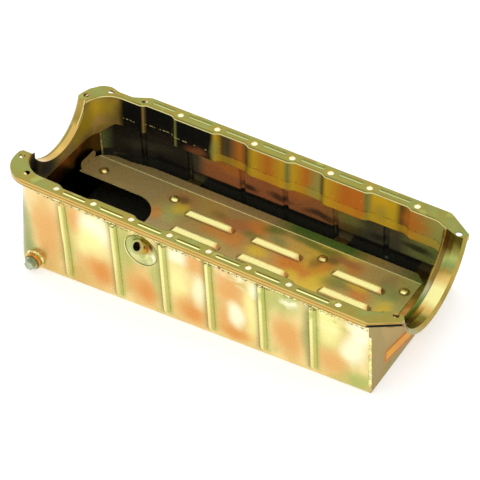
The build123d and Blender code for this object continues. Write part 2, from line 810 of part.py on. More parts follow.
seam_centre_y = sump_half_width - far_jog_depth - far_corner_radius
seam_reach = sqrt((far_corner_radius - sump_sheet) ** 2 - (end_plate_half_width - seam_centre_y) ** 2)
seam_station = far_corner_radius - sump_rear - seam_reach
with BuildPart() as seam_weld:
    seam_middle = (seam_weld_foot + seam_weld_head) / 2
    with Locations(sump_plane.location * Location((seam_station, end_plate_half_width, seam_middle))):
        Cylinder(seam_weld_radius, seam_weld_head - seam_weld_foot)
    add(inner_block, mode=Mode.INTERSECT)

with BuildPart() as drain_weld:
    with Locations(Location((drain_x, -sump_half_width, -drain_depth_z), (90, 0, 0))):
        Torus(bung_radius + drain_weld_radius / 2, drain_weld_radius)
    add(drain_bung.part, mode=Mode.SUBTRACT)
    add(outer_block, mode=Mode.SUBTRACT)
    add(inner_block, mode=Mode.SUBTRACT)
    with Locations(Location((drain_x, -sump_half_width, -drain_depth_z), (90, 0, 0))):
        Cylinder(bung_radius, 2 * bung_length, mode=Mode.SUBTRACT)

pieces = {
    "rear_end_plate": rear_end_plate.part,
    "front_end_plate": front_end_plate.part,
    "sump_wrap": sump_wrap.part,
    "dipstick_pocket": dipstick_pocket.part,
    "dipstick_boss": dipstick_boss.part,
    "drain_bung": drain_bung.part,
    "drain_washer": drain_washer.part,
    "drain_plug": drain_plug.part,
    "windage_tray": windage_tray.part,
    "rail_weld_near": rail_weld(-1, weld_rear_near_x),
    "rail_weld_far": rail_weld(1, weld_rear_far_x),
    "front_corner_weld_near": corner_weld(-1),
    "front_corner_weld_far": corner_weld(1),
    "rear_seam_weld": seam_weld.part,
    "drain_weld": drain_weld.part,
}
for name, piece in pieces.items():
    piece.label = name
    export_step(piece, f"parts/{name}.step")
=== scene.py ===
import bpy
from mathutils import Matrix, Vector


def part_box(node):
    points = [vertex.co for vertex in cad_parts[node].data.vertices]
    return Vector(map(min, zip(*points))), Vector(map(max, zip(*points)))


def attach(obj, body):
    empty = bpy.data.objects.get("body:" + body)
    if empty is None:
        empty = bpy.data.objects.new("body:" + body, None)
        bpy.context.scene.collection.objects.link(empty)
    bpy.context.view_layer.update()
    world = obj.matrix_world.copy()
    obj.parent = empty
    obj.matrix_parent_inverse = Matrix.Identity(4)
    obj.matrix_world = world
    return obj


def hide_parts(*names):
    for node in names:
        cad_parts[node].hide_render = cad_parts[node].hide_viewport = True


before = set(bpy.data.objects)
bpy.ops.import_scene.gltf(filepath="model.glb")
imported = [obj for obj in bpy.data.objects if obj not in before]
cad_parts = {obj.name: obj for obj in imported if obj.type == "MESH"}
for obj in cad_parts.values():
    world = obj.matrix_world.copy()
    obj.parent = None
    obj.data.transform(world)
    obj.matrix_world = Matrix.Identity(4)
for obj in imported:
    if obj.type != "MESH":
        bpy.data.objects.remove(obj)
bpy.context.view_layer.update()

import math

import bpy
import numpy as np
from mathutils import Matrix, Vector

bl_info = {
    "name": "Engine Oil Pan",
    "version": (1, 0, 0),
    "blender": (4, 5, 0),
    "location": "View3D > Sidebar > Oil Pan",
    "description": "Dresses a fabricated engine oil pan in yellow zinc plating, with weld beads and a stage",
    "category": "Object",
}

# Sizes and places that the looks share with the pan: in millimetres of its own frame, with angles in radians
MM = 0.001
PAN_REAR = -300.0
PAN_FRONT = 340.0
FLOOR_DEPTH = 148.1
FLOOR_SLOPE = math.radians(3.4)
SUMP_HALF_WIDTH = 120.2
SUMP_FRONT = 317.1
SEAM_STATION = -247.1
END_PLATE_HALF_WIDTH = 91.0
RAIL_LIP = 8.0
BOLT_PITCH = 61.47
FRONT_BOLT = 258.21
FLANGE_FOLD = 102.0
FLANGE_BEAD_Y = 115.4
FLANGE_EDGE = 122.1
SKIRT_SEAM = -37.5
SEAL_RADIUS = 94.9
SEAL_HEIGHT = 19.0
FRONT_SADDLE = 311.9
REAR_SADDLE = -257.5
FRONT_RIM = 341.0
REAR_RIM = -271.0
FLUTES = (-164.1, -79.0, -0.6, 72.1, 154.5, 232.1)
TRAY_TOP = -110.0
TRAY_FOLD = 84.0
SCREW_PLACES = (-224.4, -101.4, 144.6, 273.6)
SCREW_Y = 58.0
LOUVRE_PLACES = (-31.0, 79.5, 210.0)
LOUVRE_ROWS = (-41.0, 0.0, 41.0)
HOOD_END = 40.0
POCKET_X = -42.0
POCKET_Z = -42.5
POCKET_RIM = 26.0
BOSS = (-48.0, -115.7, -41.0)
BOSS_TILT = math.radians(35.0)
BOSS_TURN = math.radians(12.0)
DRAIN_X = -224.4
DRAIN_Z = -145.0
LABEL_Y = -36.5
LABEL_HEIGHT = 23.2
LABEL_LEAN = math.radians(-12.0)
LABEL_HALF_LENGTH = 42.5
LABEL_HALF_WIDTH = 10.0


def tone(code):
    """Linear colour of a six-digit sRGB code: each share is raised through the sRGB curve."""
    shares = np.array([int(code[at:at + 2], 16) for at in (0, 2, 4)]) / 255
    linear = np.where(shares <= 0.04045, shares / 12.92, ((shares + 0.055) / 1.055) ** 2.4)
    return tuple(float(share) for share in linear)


def on_floor(station, height, y=0.0):
    """Points in metres, from places in mm along, square to and across the sloping sump floor."""
    x = station * math.cos(FLOOR_SLOPE) - height * math.sin(FLOOR_SLOPE)
    z = station * math.sin(FLOOR_SLOPE) + height * math.cos(FLOOR_SLOPE) - FLOOR_DEPTH
    return np.stack(np.broadcast_arrays(x, y, z), axis=-1) * MM


def arithmetic(operation, swapped=False):
    """A method that joins a wire and what it is given by a Math node, in either order."""

    def join(wire, *others):
        terms = (*others, wire) if swapped else (wire, *others)
        return wire.tree.add("ShaderNodeMath", {"operation": operation}, *terms)

    return join


class Wire:
    """A number socket in a node tree. Sums, products and roots of wires add Math nodes."""

    def __init__(self, tree, socket):
        self.tree = tree
        self.socket = socket

    __add__ = __radd__ = arithmetic("ADD")
    __sub__ = arithmetic("SUBTRACT")
    __rsub__ = arithmetic("SUBTRACT", swapped=True)
    __mul__ = __rmul__ = arithmetic("MULTIPLY")
    __truediv__ = arithmetic("DIVIDE")
    __pow__ = arithmetic("POWER")
    __abs__ = arithmetic("ABSOLUTE")
    at_most = arithmetic("MINIMUM")
    at_least = arithmetic("MAXIMUM")
    sine = arithmetic("SINE")

    def step(self, start, stop, top=1.0):
        """Smooth rise from 0 at start to the top at stop; start may be above stop for a fall."""
        smooth = {"interpolation_type": "SMOOTHSTEP"}
        return self.tree.add("ShaderNodeMapRange", smooth, self, start, stop, 0.0, top)

    def past(self, place, soft=0.3):
        """1 beyond a place and 0 before it, with a soft edge."""
        return self.step(place - soft, place + soft)

    def before(self, place, soft=0.3):
        """1 before a place and 0 beyond it, with a soft edge."""
        return self.step(place + soft, place - soft)

    def band(self, low, high, soft=0.5):
        """1 between low and high and 0 outside, with soft edges."""
        return self.past(low, soft) * self.before(high, soft)


class Tree:
    """A node tree, built node by node."""

    def __init__(self, tree):
        self.tree = tree

    def feed(self, socket, value):
        """Gives a socket its input: a link from a wire or another socket, a colour or a plain value."""
        if isinstance(value, Wire):
            value = value.socket
        if isinstance(value, bpy.types.NodeSocket):
            self.tree.links.new(value, socket)
        elif value is not None:
            socket.default_value = (*value[:3], 1.0) if socket.type == "RGBA" else value

    def add(self, kind, settings, *values, out=0, **named):
        """Adds a node: its settings first, then its sockets in order or by name, and gives one output."""
        node = self.tree.nodes.new(kind)
        for key, value in settings.items():
            setattr(node, key, value)
        for socket, value in zip(node.inputs, values):
            self.feed(socket, value)
        for key, value in named.items():
            self.feed(node.inputs[key], value)
        if out is None:
            return node
        found = node.outputs[out]
        return Wire(self, found) if found.type == "VALUE" else found


class Paint(Tree):
    """One material on a Principled surface. Its places are in mm, in the pan's frame and along its floor."""

    def __init__(self, name):
        self.material = bpy.data.materials.new(name)
        self.material.use_nodes = True
        super().__init__(self.material.node_tree)
        self.surface = self.tree.nodes["Principled BSDF"]
        self.zinc = bpy.context.scene.pan_zinc
        coordinates = self.add("ShaderNodeTexCoord", {}, out=None)
        self.place = coordinates.outputs["Object"]
        self.x, self.y, self.z = [wire / MM for wire in self.split(self.place)]
        self.nx, self.ny, self.nz = self.split(coordinates.outputs["Normal"])
        rise, run = math.sin(FLOOR_SLOPE), math.cos(FLOOR_SLOPE)
        above = self.z + FLOOR_DEPTH
        self.station = self.x * run + above * rise
        self.height = above * run - self.x * rise

    def split(self, vector):
        """The three numbers of a vector socket."""
        node = self.add("ShaderNodeSeparateXYZ", {}, vector, out=None)
        return [Wire(self, socket) for socket in node.outputs]

    def noise(self, scale, detail=2.0, rough=0.5, stretch=(1.0, 1.0, 1.0), shift=(0.0, 0.0, 0.0), swirl=0.0):
        """Soft random clouds between 0 and 1; scale is how many fit in a metre."""
        place = self.add("ShaderNodeMapping", {}, Vector=self.place, Scale=stretch, Location=shift)
        return self.add("ShaderNodeTexNoise", {}, Vector=place, Scale=scale, Detail=detail, Roughness=rough,
                        Distortion=swirl)

    def mix(self, share, under, over):
        """Blend of two colours by a share; the node's sockets for numbers and vectors stay empty."""
        return self.add("ShaderNodeMix", {"data_type": "RGBA"}, share, *[None] * 5, under, over, out=2)

    def vector(self, operation, *values, out=0, **named):
        """One sum on vectors."""
        return self.add("ShaderNodeVectorMath", {"operation": operation}, *values, out=out, **named)

    def grid(self, u, v, stray=9.0):
        """A flat place from two lengths in mm, shaken by soft noise so that the ovals have free edges."""
        shaken = self.add("ShaderNodeTexNoise", {}, out="Color", Vector=self.place, Scale=21.0, Detail=1.0)
        shaken = self.vector("SCALE", self.vector("SUBTRACT", shaken, (0.5, 0.5, 0.5)), Scale=2.0 * stray)
        return self.vector("ADD", self.add("ShaderNodeCombineXYZ", {}, u, v, 0.0), shaken)

    def stains_and_light(self, colour, place, ovals):
        """Lays soft ovals over a colour, as stains of tint or as painted highlight and shade: each has a
        tint, its middle and half sizes in mm, and a strength.
        """
        for tint, u, v, half_u, half_v, strength in ovals:
            scale = (1.0 / half_u, 1.0 / half_v, 0.0)
            shift = (-u / half_u, -v / half_v, 0.0)
            local = self.add("ShaderNodeMapping", {}, Vector=place, Location=shift, Scale=scale)
            reach = self.vector("LENGTH", local, out="Value")
            colour = self.mix(reach.step(1.25, 0.25, strength), colour, tint)
        return colour

    def along(self, wire, stops, low=PAN_REAR, high=PAN_FRONT):
        """A colour that follows (place, colour or number) stops along a length between low and high."""
        share = self.add("ShaderNodeMapRange", {}, wire, low, high, 0.0, 1.0)
        ramp = self.add("ShaderNodeValToRGB", {}, share, out=None)
        elements = ramp.color_ramp.elements
        elements.remove(elements[1])
        for at, (place, value) in enumerate(sorted(stops, key=lambda stop: stop[0])):
            share = (place - low) / (high - low)
            element = elements.new(share) if at else elements[0]
            element.position = share
            tint = value if hasattr(value, "__len__") else (value, value, value)
            element.color = (*tint[:3], 1.0)
        return ramp.outputs["Color"]

    def share_along(self, wire, stops, low=PAN_REAR, high=PAN_FRONT):
        """As along, but for plain numbers, as a wire."""
        return Wire(self, self.along(wire, stops, low, high)) * 1.0

    def glow(self, share, tint):
        """Painted light: a glow that stands in for the daylight reaching the hidden faces seen through the
        bolt holes.
        """
        self.feed(self.surface.inputs["Emission Color"], self.mix(share, (0.0, 0.0, 0.0), tint))
        self.feed(self.surface.inputs["Emission Strength"], 1.0)

    def relief(self, height, depth):
        """Bump from a height between 0 and 1, that deep in metres."""
        return self.add("ShaderNodeBump", {}, Strength=1.0, Distance=depth, Height=height)

    def finish(self, colour, roughness, normal=None, metallic=1.0):
        """Joins the pattern to the surface and gives the material."""
        inputs = {"Base Color": colour, "Roughness": roughness, "Normal": normal, "Metallic": metallic}
        for key, value in inputs.items():
            self.feed(self.surface.inputs[key], value)
        return self.material

    def plate(self, colour, roughness, waves, depth, metallic=1.0):
        """Finishes a plated sheet, whose roughness has a fine mottle."""
        mottle = self.noise(160.0, 3.0, 0.6)
        return self.finish(colour, roughness + mottle * 0.08, self.relief(waves, depth), metallic)


def tint_property(name, description, code):
    """A colour setting with its default given as a six-digit code."""
    return bpy.props.FloatVectorProperty(
        name=name, description=description, default=tone(code), min=0.0, max=1.0, subtype="COLOR")


class ZincFinish(bpy.types.PropertyGroup):
    """Colours of the iridescent yellow zinc plating, and of the light and shade painted on it."""

    gold: tint_property("Gold", "Main colour of the plating", "d9b465")
    cream: tint_property("Cream", "Pale ground of the side walls", "f2dc9a")
    # Straw is also painted highlight: the lit flute flanks, bead lines, bends, fold, edges and saddle lines.
    straw: tint_property("Straw", "Palest yellow, where the film is thin", "fbf4a4")
    # Painted highlight: the pale yellow of the lit louvre hoods.
    hood: tint_property("Hood", "Bright yellow of the louvre hoods", "fff6a4")
    # White is painted highlight and the painted glow seen through the bolt holes; it also lightens the weld
    # blobs.
    white: tint_property("White", "Bright flanks where the film is thinnest", "fffdd8")
    olive: tint_property("Olive", "Green tint of the film", "b4bb68")
    fern: tint_property("Fern", "Green of the flange", "969044")
    celadon: tint_property("Celadon", "Grey green of the dipstick pocket", "c0c488")
    # Mint is painted light: the glow seen through the near bolt holes and a highlight on the front saddle's
    # roll.
    mint: tint_property("Mint", "Pale green seen through the bolt holes", "f0f0d0")
    moss: tint_property("Moss", "Deep green tint of the film", "8b9a58")
    leaf: tint_property("Leaf", "Clear green on the tray", "5f7a30")
    yellow: tint_property("Yellow", "Strong yellow on the skirt", "ecca36")
    ochre: tint_property("Ochre", "Brown gold of the flange and the saddles", "a0883f")
    brass: tint_property("Brass", "Dull gold", "b89a4e")
    bronze: tint_property("Bronze", "Brown gold of the tray", "ab935c")
    peach: tint_property("Peach", "Pink and orange tint of the film", "e4ae68")
    amber: tint_property("Amber", "Deep orange tint of the film", "dd8a34")
    # Red brown: a film tint on the tray; on the far wall and skirts it is painted reflection.
    red_brown: tint_property("Brick red", "Red brown of thick film", "b87448")
    # Painted shade in the hollow beside the boss.
    maroon: tint_property("Maroon", "Dark red of the hollow beside the boss", "5c2a1c")
    # Umber is painted shade in creases, corners, pits, rims and under edges; it is also a film tint in the
    # mottle and stains.
    umber: tint_property("Umber", "Brown of thick film in corners", "6a5228")
    # Slate is mostly painted shade and dark reflection deep inside.
    slate: tint_property("Slate", "Dark grey green deep inside", "4c4c3e")
    # Painted shade and dark reflection: the near black deep inside, below the tray and on the far wall.
    shade_black: tint_property("Shade black", "Nearly black film deep inside", "1c1d1b")
    label: tint_property("Label", "Orange of the blank label", "ffac24")
    border: tint_property("Border", "Red brown border of the blank label", "d0481a")
    # Painted shade: the black inside the open bore and in the pits along the weld toe.
    deep_shade: tint_property("Deep shade", "Black of the open bore", "060605")
    roughness: bpy.props.FloatProperty(
        name="Roughness", description="Softness of the reflections", default=0.26, min=0.0, max=1.0,
        subtype="FACTOR")


class StageLayout(bpy.types.PropertyGroup):
    """Camera and light round the pan."""

    camera_place: bpy.props.FloatVectorProperty(
        name="Camera", description="Where the camera stands", default=(1.0946, -1.7740, 1.8142),
        subtype="TRANSLATION", unit="LENGTH")
    camera_target: bpy.props.FloatVectorProperty(
        name="Target", description="Point that the camera looks at", default=(0.38885, -0.58286, 0.54489),
        subtype="TRANSLATION", unit="LENGTH")
    camera_roll: bpy.props.FloatProperty(
        name="Roll", description="Turn of the camera about its line of sight", default=math.radians(0.36),
        subtype="ANGLE", unit="ROTATION")
    lens: bpy.props.FloatProperty(
        name="Lens", description="Focal length on a 36 mm sensor", default=150.47, min=10.0,
        unit="CAMERA")
    light: bpy.props.FloatProperty(
        name="Light", description="Strength of the even studio light", default=0.9, min=0.0)


def plated(name, base, tint, second, amount=0.5):
    """Zinc plating: clouds of two tints over a base colour, a fine mottle and slight waves."""
    paint = Paint(name)
    zinc = paint.zinc
    colour = clouds(paint, base, tint, second, amount)
    colour = paint.mix(paint.noise(160.0, 3.0, 0.6).step(0.5, 0.8, 0.25), colour, zinc.umber)
    return paint.plate(colour, zinc.roughness, paint.noise(26.0), 0.0024)


def clouds(paint, base, tint, second, amount=0.5, size=13.0, shift=0.0):
    """A base colour with soft clouds of two tints; size is how many clouds fit in a metre."""
    broad = paint.noise(size, stretch=(1.0, 1.0, 0.6), shift=(shift, 0.0, 0.0), swirl=0.4)
    other = paint.noise(1.5 * size, stretch=(1.0, 1.0, 0.7), shift=(3.1 + shift, 1.7, 0.4), swirl=0.4)
    colour = paint.mix(broad.step(0.42, 0.62, amount), base, tint)
    return paint.mix(other.step(0.46, 0.66, amount), colour, second)


def outward(paint, rear=-178.0, front=290.0):
    """1 on faces that look away from the inside, else 0; rear and front are where the ends begin."""
    reach, half_width, middle, half_depth = 15.0, 120.0, -60.0, 90.0
    ends = paint.x.step(front, front + reach) - paint.x.step(rear, rear - reach)
    lean = paint.nx * ends + paint.ny * paint.y / half_width + paint.nz * (paint.z - middle) / half_depth
    return lean.past(0.0, 0.02)


def repeated(places, profile):
    """The stops of a profile of (offset, value) pairs set down at each place."""
    return [(place + offset, value) for place in places for offset, value in profile]


def nearest(wire, places):
    """Distance in mm from a length to the nearest of some places."""
    found = abs(wire - places[0])
    for place in places[1:]:
        found = found.at_most(abs(wire - place))
    return found


def screw_distance(paint):
    """Distance in mm over the tray to the nearest screw's axis."""
    along, across = nearest(paint.x, SCREW_PLACES), abs(paint.y) - SCREW_Y
    return (along * along + across * across) ** 0.5


def hood_place(paint):
    """Distance in mm along the louvre hoods from the middle of the nearest one, towards the front."""
    found = paint.x - LOUVRE_PLACES[0]
    for last, place in zip(LOUVRE_PLACES, LOUVRE_PLACES[1:]):
        found = found - paint.x.past((last + place) / 2, 0.1) * (place - last)
    return found


def near_wall(paint, zinc):
    """Colour of the near wall's outside: stained panels with painted highlights and painted shade between the
    flutes, each flute with a painted highlight on its bright flank and painted shade in its crease.
    """
    gold, straw, olive = zinc.gold, zinc.straw, zinc.olive
    moss, peach, amber, umber = zinc.moss, zinc.peach, zinc.amber, zinc.umber
    white = zinc.white
    colour = clouds(paint, zinc.cream, gold, olive, 0.45, 16.0)
    # Ovals: the white and straw ones are painted highlights; the umber oval and the moss ones at stations
    # -238 and -240 on the rear corner are painted shade; the rest are film tints.
    colour = paint.stains_and_light(colour, paint.grid(paint.station, paint.height), (
        (peach, -196, 76, 30, 78, 0.95), (moss, -238, 60, 22, 60, 0.8), (umber, -246, 90, 9, 26, 0.7),
        (moss, -240, 30, 24, 26, 0.5), (gold, -205, 20, 30, 22, 0.6), (peach, -146, 118, 24, 30, 1.0),
        (white, -112, 112, 32, 34, 1.0), (straw, -124, 84, 30, 34, 0.9), (peach, -112, 38, 34, 38, 1.0),
        (amber, -104, 40, 20, 26, 0.55), (gold, -150, 16, 24, 24, 0.8), (olive, -60, 100, 16, 56, 0.8),
        (peach, -42, 42, 34, 40, 1.0), (amber, -30, 34, 22, 26, 0.5), (olive, -14, 80, 12, 66, 0.7),
        (white, 24, 124, 24, 18, 0.9), (peach, 54, 118, 24, 30, 0.95), (straw, 22, 62, 18, 50, 0.9),
        (peach, 36, 30, 34, 34, 1.0), (amber, 46, 26, 22, 20, 0.5), (white, 56, 72, 13, 34, 0.7),
        (peach, 102, 96, 30, 42, 1.0), (peach, 98, 40, 26, 28, 0.9), (amber, 112, 20, 34, 14, 0.6),
        (white, 111, 54, 15, 24, 1.0), (straw, 138, 66, 16, 52, 0.8), (olive, 186, 112, 34, 30, 0.8),
        (white, 196, 110, 13, 9, 0.9), (white, 143, 112, 12, 16, 0.9), (peach, 193, 50, 30, 42, 1.0),
        (moss, 224, 70, 13, 70, 0.55), (straw, 254, 96, 24, 46, 0.9), (white, 300, 100, 20, 34, 1.0),
        (white, 292, 66, 22, 28, 0.9), (peach, 262, 34, 30, 26, 0.8), (olive, 304, 16, 26, 20, 0.9),
    ))
    upright = paint.height.band(8.0, 140.0, 3.0)
    green = paint.share_along(paint.station, repeated(FLUTES, ((0.5, 0), (3, 0.85), (8, 0.6), (12, 0))))
    colour = paint.mix(green * upright, colour, olive)
    # Painted shade: a dark line on the hidden flank of each flute.
    dark_edge = ((-14, 0), (-8, 0.4), (-6, 1), (-4.4, 1), (-3.6, 0))
    crease = paint.share_along(paint.station, repeated(FLUTES, dark_edge))
    colour = paint.mix(crease * upright * 0.9, colour, paint.mix(0.5, umber, moss))
    # Painted highlight: a bright strip on the lit flank of each flute, fading towards the floor.
    glint = paint.share_along(paint.station, repeated(FLUTES, ((-4, 0), (-3, 1), (0.4, 1), (2.8, 0))))
    fade = paint.height.step(0.0, 90.0) * 0.6 + 0.4
    colour = paint.mix(glint * upright * fade, colour, straw)
    # Pale patches below the lip are painted highlight; the olive patches are film tint.
    sheen_and_tint = paint.noise(34.0, stretch=(1.0, 1.0, 1.6), swirl=0.5)
    under_lip = paint.z.step(-50.0, -20.0) * paint.station.band(90.0, 300.0, 20.0)
    colour = paint.mix(sheen_and_tint.step(0.48, 0.68) * under_lip * 0.7, colour, white)
    colour = paint.mix(sheen_and_tint.step(0.44, 0.3) * under_lip * 0.8, colour, olive)
    # Painted shadow: dark specks in a row below the rail weld, between its ripples.
    specks = paint.noise(260.0, 1.0, stretch=(1.0, 1.0, 2.0)).step(0.52, 0.6)
    row = paint.z.band(-17.4, -14.0, 0.6) * (paint.noise(40.0, 1.0).step(0.4, 0.5) * 0.6 + 0.3)
    return paint.mix(specks * row, colour, umber)


def far_wall(paint, zinc):
    """Colour of the far wall's inside: painted reflection and shade, nearly black towards the rear, brown and
    green towards the front.
    """
    olive, moss, amber = zinc.olive, zinc.moss, zinc.amber
    umber, shade_black, red_brown, slate = zinc.umber, zinc.shade_black, zinc.red_brown, zinc.slate
    colour = paint.along(paint.x, (
        (-260, moss), (-235, shade_black), (-120, shade_black), (-100, slate), (-84, red_brown), (-20, red_brown), (60, red_brown),
        (110, red_brown), (150, umber), (180, slate), (230, slate), (262, moss), (300, moss),
    ))
    # Ovals of painted reflection and shade: near black streaks low down, lighter tints higher up.
    colour = paint.stains_and_light(colour, paint.grid(paint.x, paint.z), (
        (slate, -180, -84, 50, 10, 0.4), (olive, -78, -62, 20, 12, 0.6), (amber, -45, -70, 30, 14, 0.7),
        (shade_black, -14, -92, 20, 8, 0.9), (shade_black, 40, -88, 26, 7, 0.8), (amber, 72, -66, 26, 12, 0.6),
        (shade_black, 105, -92, 34, 7, 0.8), (olive, 150, -78, 30, 14, 0.4), (shade_black, 205, -90, 22, 7, 0.8),
        (shade_black, 262, -84, 30, 8, 0.9),
    ))
    # Painted shade: black at the foot of the wall, in the gap beside the tray.
    foot = paint.z.step(-100.0, -103.5)
    return paint.mix(foot, colour, shade_black)


def sump_coat(name):
    """Plating of the sump wrap: its near outside, its inside and its plainer far outside."""
    paint = Paint(name)
    zinc = paint.zinc
    out = outward(paint)
    near_side = paint.y.step(-60.0, -90.0)
    inside = far_wall(paint, zinc)
    # Painted shade below the tray: near black deep inside.
    deep = paint.z.step(-106.0, -112.0)
    inside = paint.mix(deep, inside, paint.mix(0.4, zinc.shade_black, zinc.slate))
    outside = clouds(paint, zinc.gold, zinc.peach, zinc.olive, 0.7)
    outside = paint.mix(near_side, outside, near_wall(paint, zinc))
    colour = paint.mix(out, inside, outside)
    # Painted light: a white glow on the inside at the top, seen through the bolt holes.
    gap = (1.0 - out) * paint.z.step(-26.0, -20.0) * abs(paint.y).step(114.0, 116.0)
    paint.glow(gap, zinc.white)
    return paint.plate(colour, 0.24, paint.noise(17.0, stretch=(1.0, 1.0, 0.7)), 0.003, out * 0.75 + 0.25)


def flange_top(paint, zinc, near_side):
    """Colour of the flange: green with brown clouds, a painted highlight line in each bead with painted shade
    round it, painted shade along the inner fold, a gold outer edge.
    """
    umber, straw, moss = zinc.umber, zinc.straw, zinc.moss
    colour = clouds(paint, zinc.fern, zinc.ochre, zinc.moss, 0.55, 18.0)
    spots = paint.noise(34.0, 1.0, shift=(4.0, 2.0, 0.0)).step(0.6, 0.72)
    colour = paint.mix(spots * 0.5, colour, zinc.olive)
    across = abs(paint.y) - FLANGE_BEAD_Y
    pressed = paint.share_along(paint.x, bead_stops(), -220.0, 280.0)
    # Painted shade round each bead, and a painted highlight line in it, brighter on the near side.
    colour = paint.mix(pressed * across.band(-3.8, 3.4, 0.4) * 0.75, colour, umber)
    colour = paint.mix(pressed * across.band(-2.7, 2.3, 0.3), colour, moss)
    shine = pressed * across.band(-1.7, 0.7, 0.3)
    colour = paint.mix(shine * (near_side * 0.7 + 0.3), colour, straw)
    # Painted shade: a dark line along the inner fold.
    inner = abs(abs(paint.y) - FLANGE_FOLD).before(1.2, 0.6) * paint.x.band(-200.0, 290.0, 6.0)
    colour = paint.mix(inner * 0.5, colour, umber)
    return paint.mix(abs(paint.y).past(FLANGE_EDGE, 0.5) * near_side, colour, zinc.gold)


def bead_stops():
    """Stops that are 1 over each bead between two neighbouring bolts and 0 elsewhere."""
    bolts = [BOLT_PITCH * step for step in range(-3, 4)] + [FRONT_BOLT]
    off, on = 11.6, 12.6
    stops = []
    for start, stop in zip(bolts, bolts[1:]):
        stops += [(start + off, 0), (start + on, 1), (stop - on, 1), (stop - off, 0)]
    return stops


def rail_lip(paint, zinc, near_side):
    """Colour of the turned-down edge: gold with painted shade lines along it and fine hatching across, and a
    painted shadow on the near nose.
    """
    gold, amber, umber = zinc.gold, zinc.amber, zinc.umber
    colour = clouds(paint, zinc.brass, gold, zinc.olive, 0.5, 30.0)
    hatch = (paint.x * 2.3 + paint.z * 1.4).sine().step(0.0, 0.9)
    colour = paint.mix(paint.z.band(-5.6, -2.4, 0.5), colour, paint.mix(hatch * 0.4, gold, amber))
    # Painted shade: brown lines below the bend and along the lower edge.
    colour = paint.mix(paint.z.band(-2.4, -1.3, 0.3) * 0.7, colour, umber)
    colour = paint.mix(paint.z.step(-6.4, -7.4) * 0.8, colour, umber)
    # Painted shadow: a dark line on the near nose's lip.
    nose = near_side * paint.x.step(303.0, 307.0) * paint.z.band(-7.6, -3.4, 0.5)
    return paint.mix(nose, colour, zinc.shade_black)


def far_skirt(paint, zinc):
    """Colour of the far skirt's inside: painted reflection and shade in upright panels from black at the rear
    to gold at the front.
    """
    gold, olive, moss, umber = zinc.gold, zinc.olive, zinc.moss, zinc.umber
    shade_black, red_brown, slate, yellow = zinc.shade_black, zinc.red_brown, zinc.slate, zinc.yellow
    amber = zinc.amber
    # Panels of painted reflection and shade along the skirt.
    colour = paint.along(paint.x, (
        (-262, yellow), (-244, yellow), (-234, shade_black), (-184.5, shade_black), (-182, gold), (-179.5, shade_black),
        (-130, shade_black), (-127, olive), (-123, shade_black), (-66, shade_black), (-60, yellow), (-50, umber), (-40, slate),
        (-20, amber), (-8, umber), (4, yellow), (28, amber), (52, yellow), (60, moss), (68, yellow),
        (88, amber), (108, olive), (114, umber), (122, yellow), (150, amber), (178, amber), (186, moss),
        (194, yellow), (228, yellow), (238, umber), (252, amber), (296, olive),
    ))
    low_strip = paint.z.band(-51.0, -38.0, 2.0) * paint.x.step(-70.0, -50.0)
    colour = paint.mix(low_strip * 0.5, colour, yellow)
    colour = paint.stains_and_light(colour, paint.grid(paint.x, paint.z), (
        (olive, -60, -30, 8, 26, 0.6), (olive, 100, -40, 14, 16, 0.6), (amber, 176, -30, 9, 22, 0.7),
        (red_brown, -90, -46, 20, 8, 0.6), (amber, 262, -24, 26, 14, 0.6), (moss, 205, -30, 16, 20, 0.4),
    ))
    weld_height = paint.noise(60.0, 1.0) * 3.0 + SKIRT_SEAM
    seam = (paint.z - weld_height).band(-0.6, 0.6, 0.4)
    broken = paint.noise(230.0, 1.0, stretch=(1.0, 0.1, 0.1)).step(0.47, 0.55)
    dark_part = paint.x.step(-60.0, -75.0)
    colour = paint.mix(seam * broken * dark_part, colour, zinc.straw)
    return paint.mix(seam * broken * (1.0 - dark_part) * 0.8, colour, umber)


def rear_skirt(paint, zinc):
    """Colour of the skirt's inside across the rear, painted reflection and shade: yellow at the far corner,
    then brown, red and black.
    """
    colour = clouds(paint, zinc.brass, zinc.ochre, zinc.gold, 0.6, 20.0, 4.0)
    return paint.stains_and_light(colour, paint.grid(paint.y, paint.z, 6.0), (
        (zinc.yellow, 84, -20, 22, 24, 1.0), (zinc.gold, 88, -44, 10, 12, 0.7),
        (zinc.yellow, 62, -38, 20, 22, 1.0), (zinc.yellow, 40, -50, 18, 14, 0.6),
        (zinc.bronze, 18, -62, 20, 12, 0.7), (zinc.red_brown, -2, -70, 20, 9, 1.0),
        (zinc.slate, -34, -50, 30, 26, 1.0), (zinc.shade_black, -72, -30, 36, 44, 1.0),
        (zinc.shade_black, 112, -34, 12, 44, 1.0),
    ))


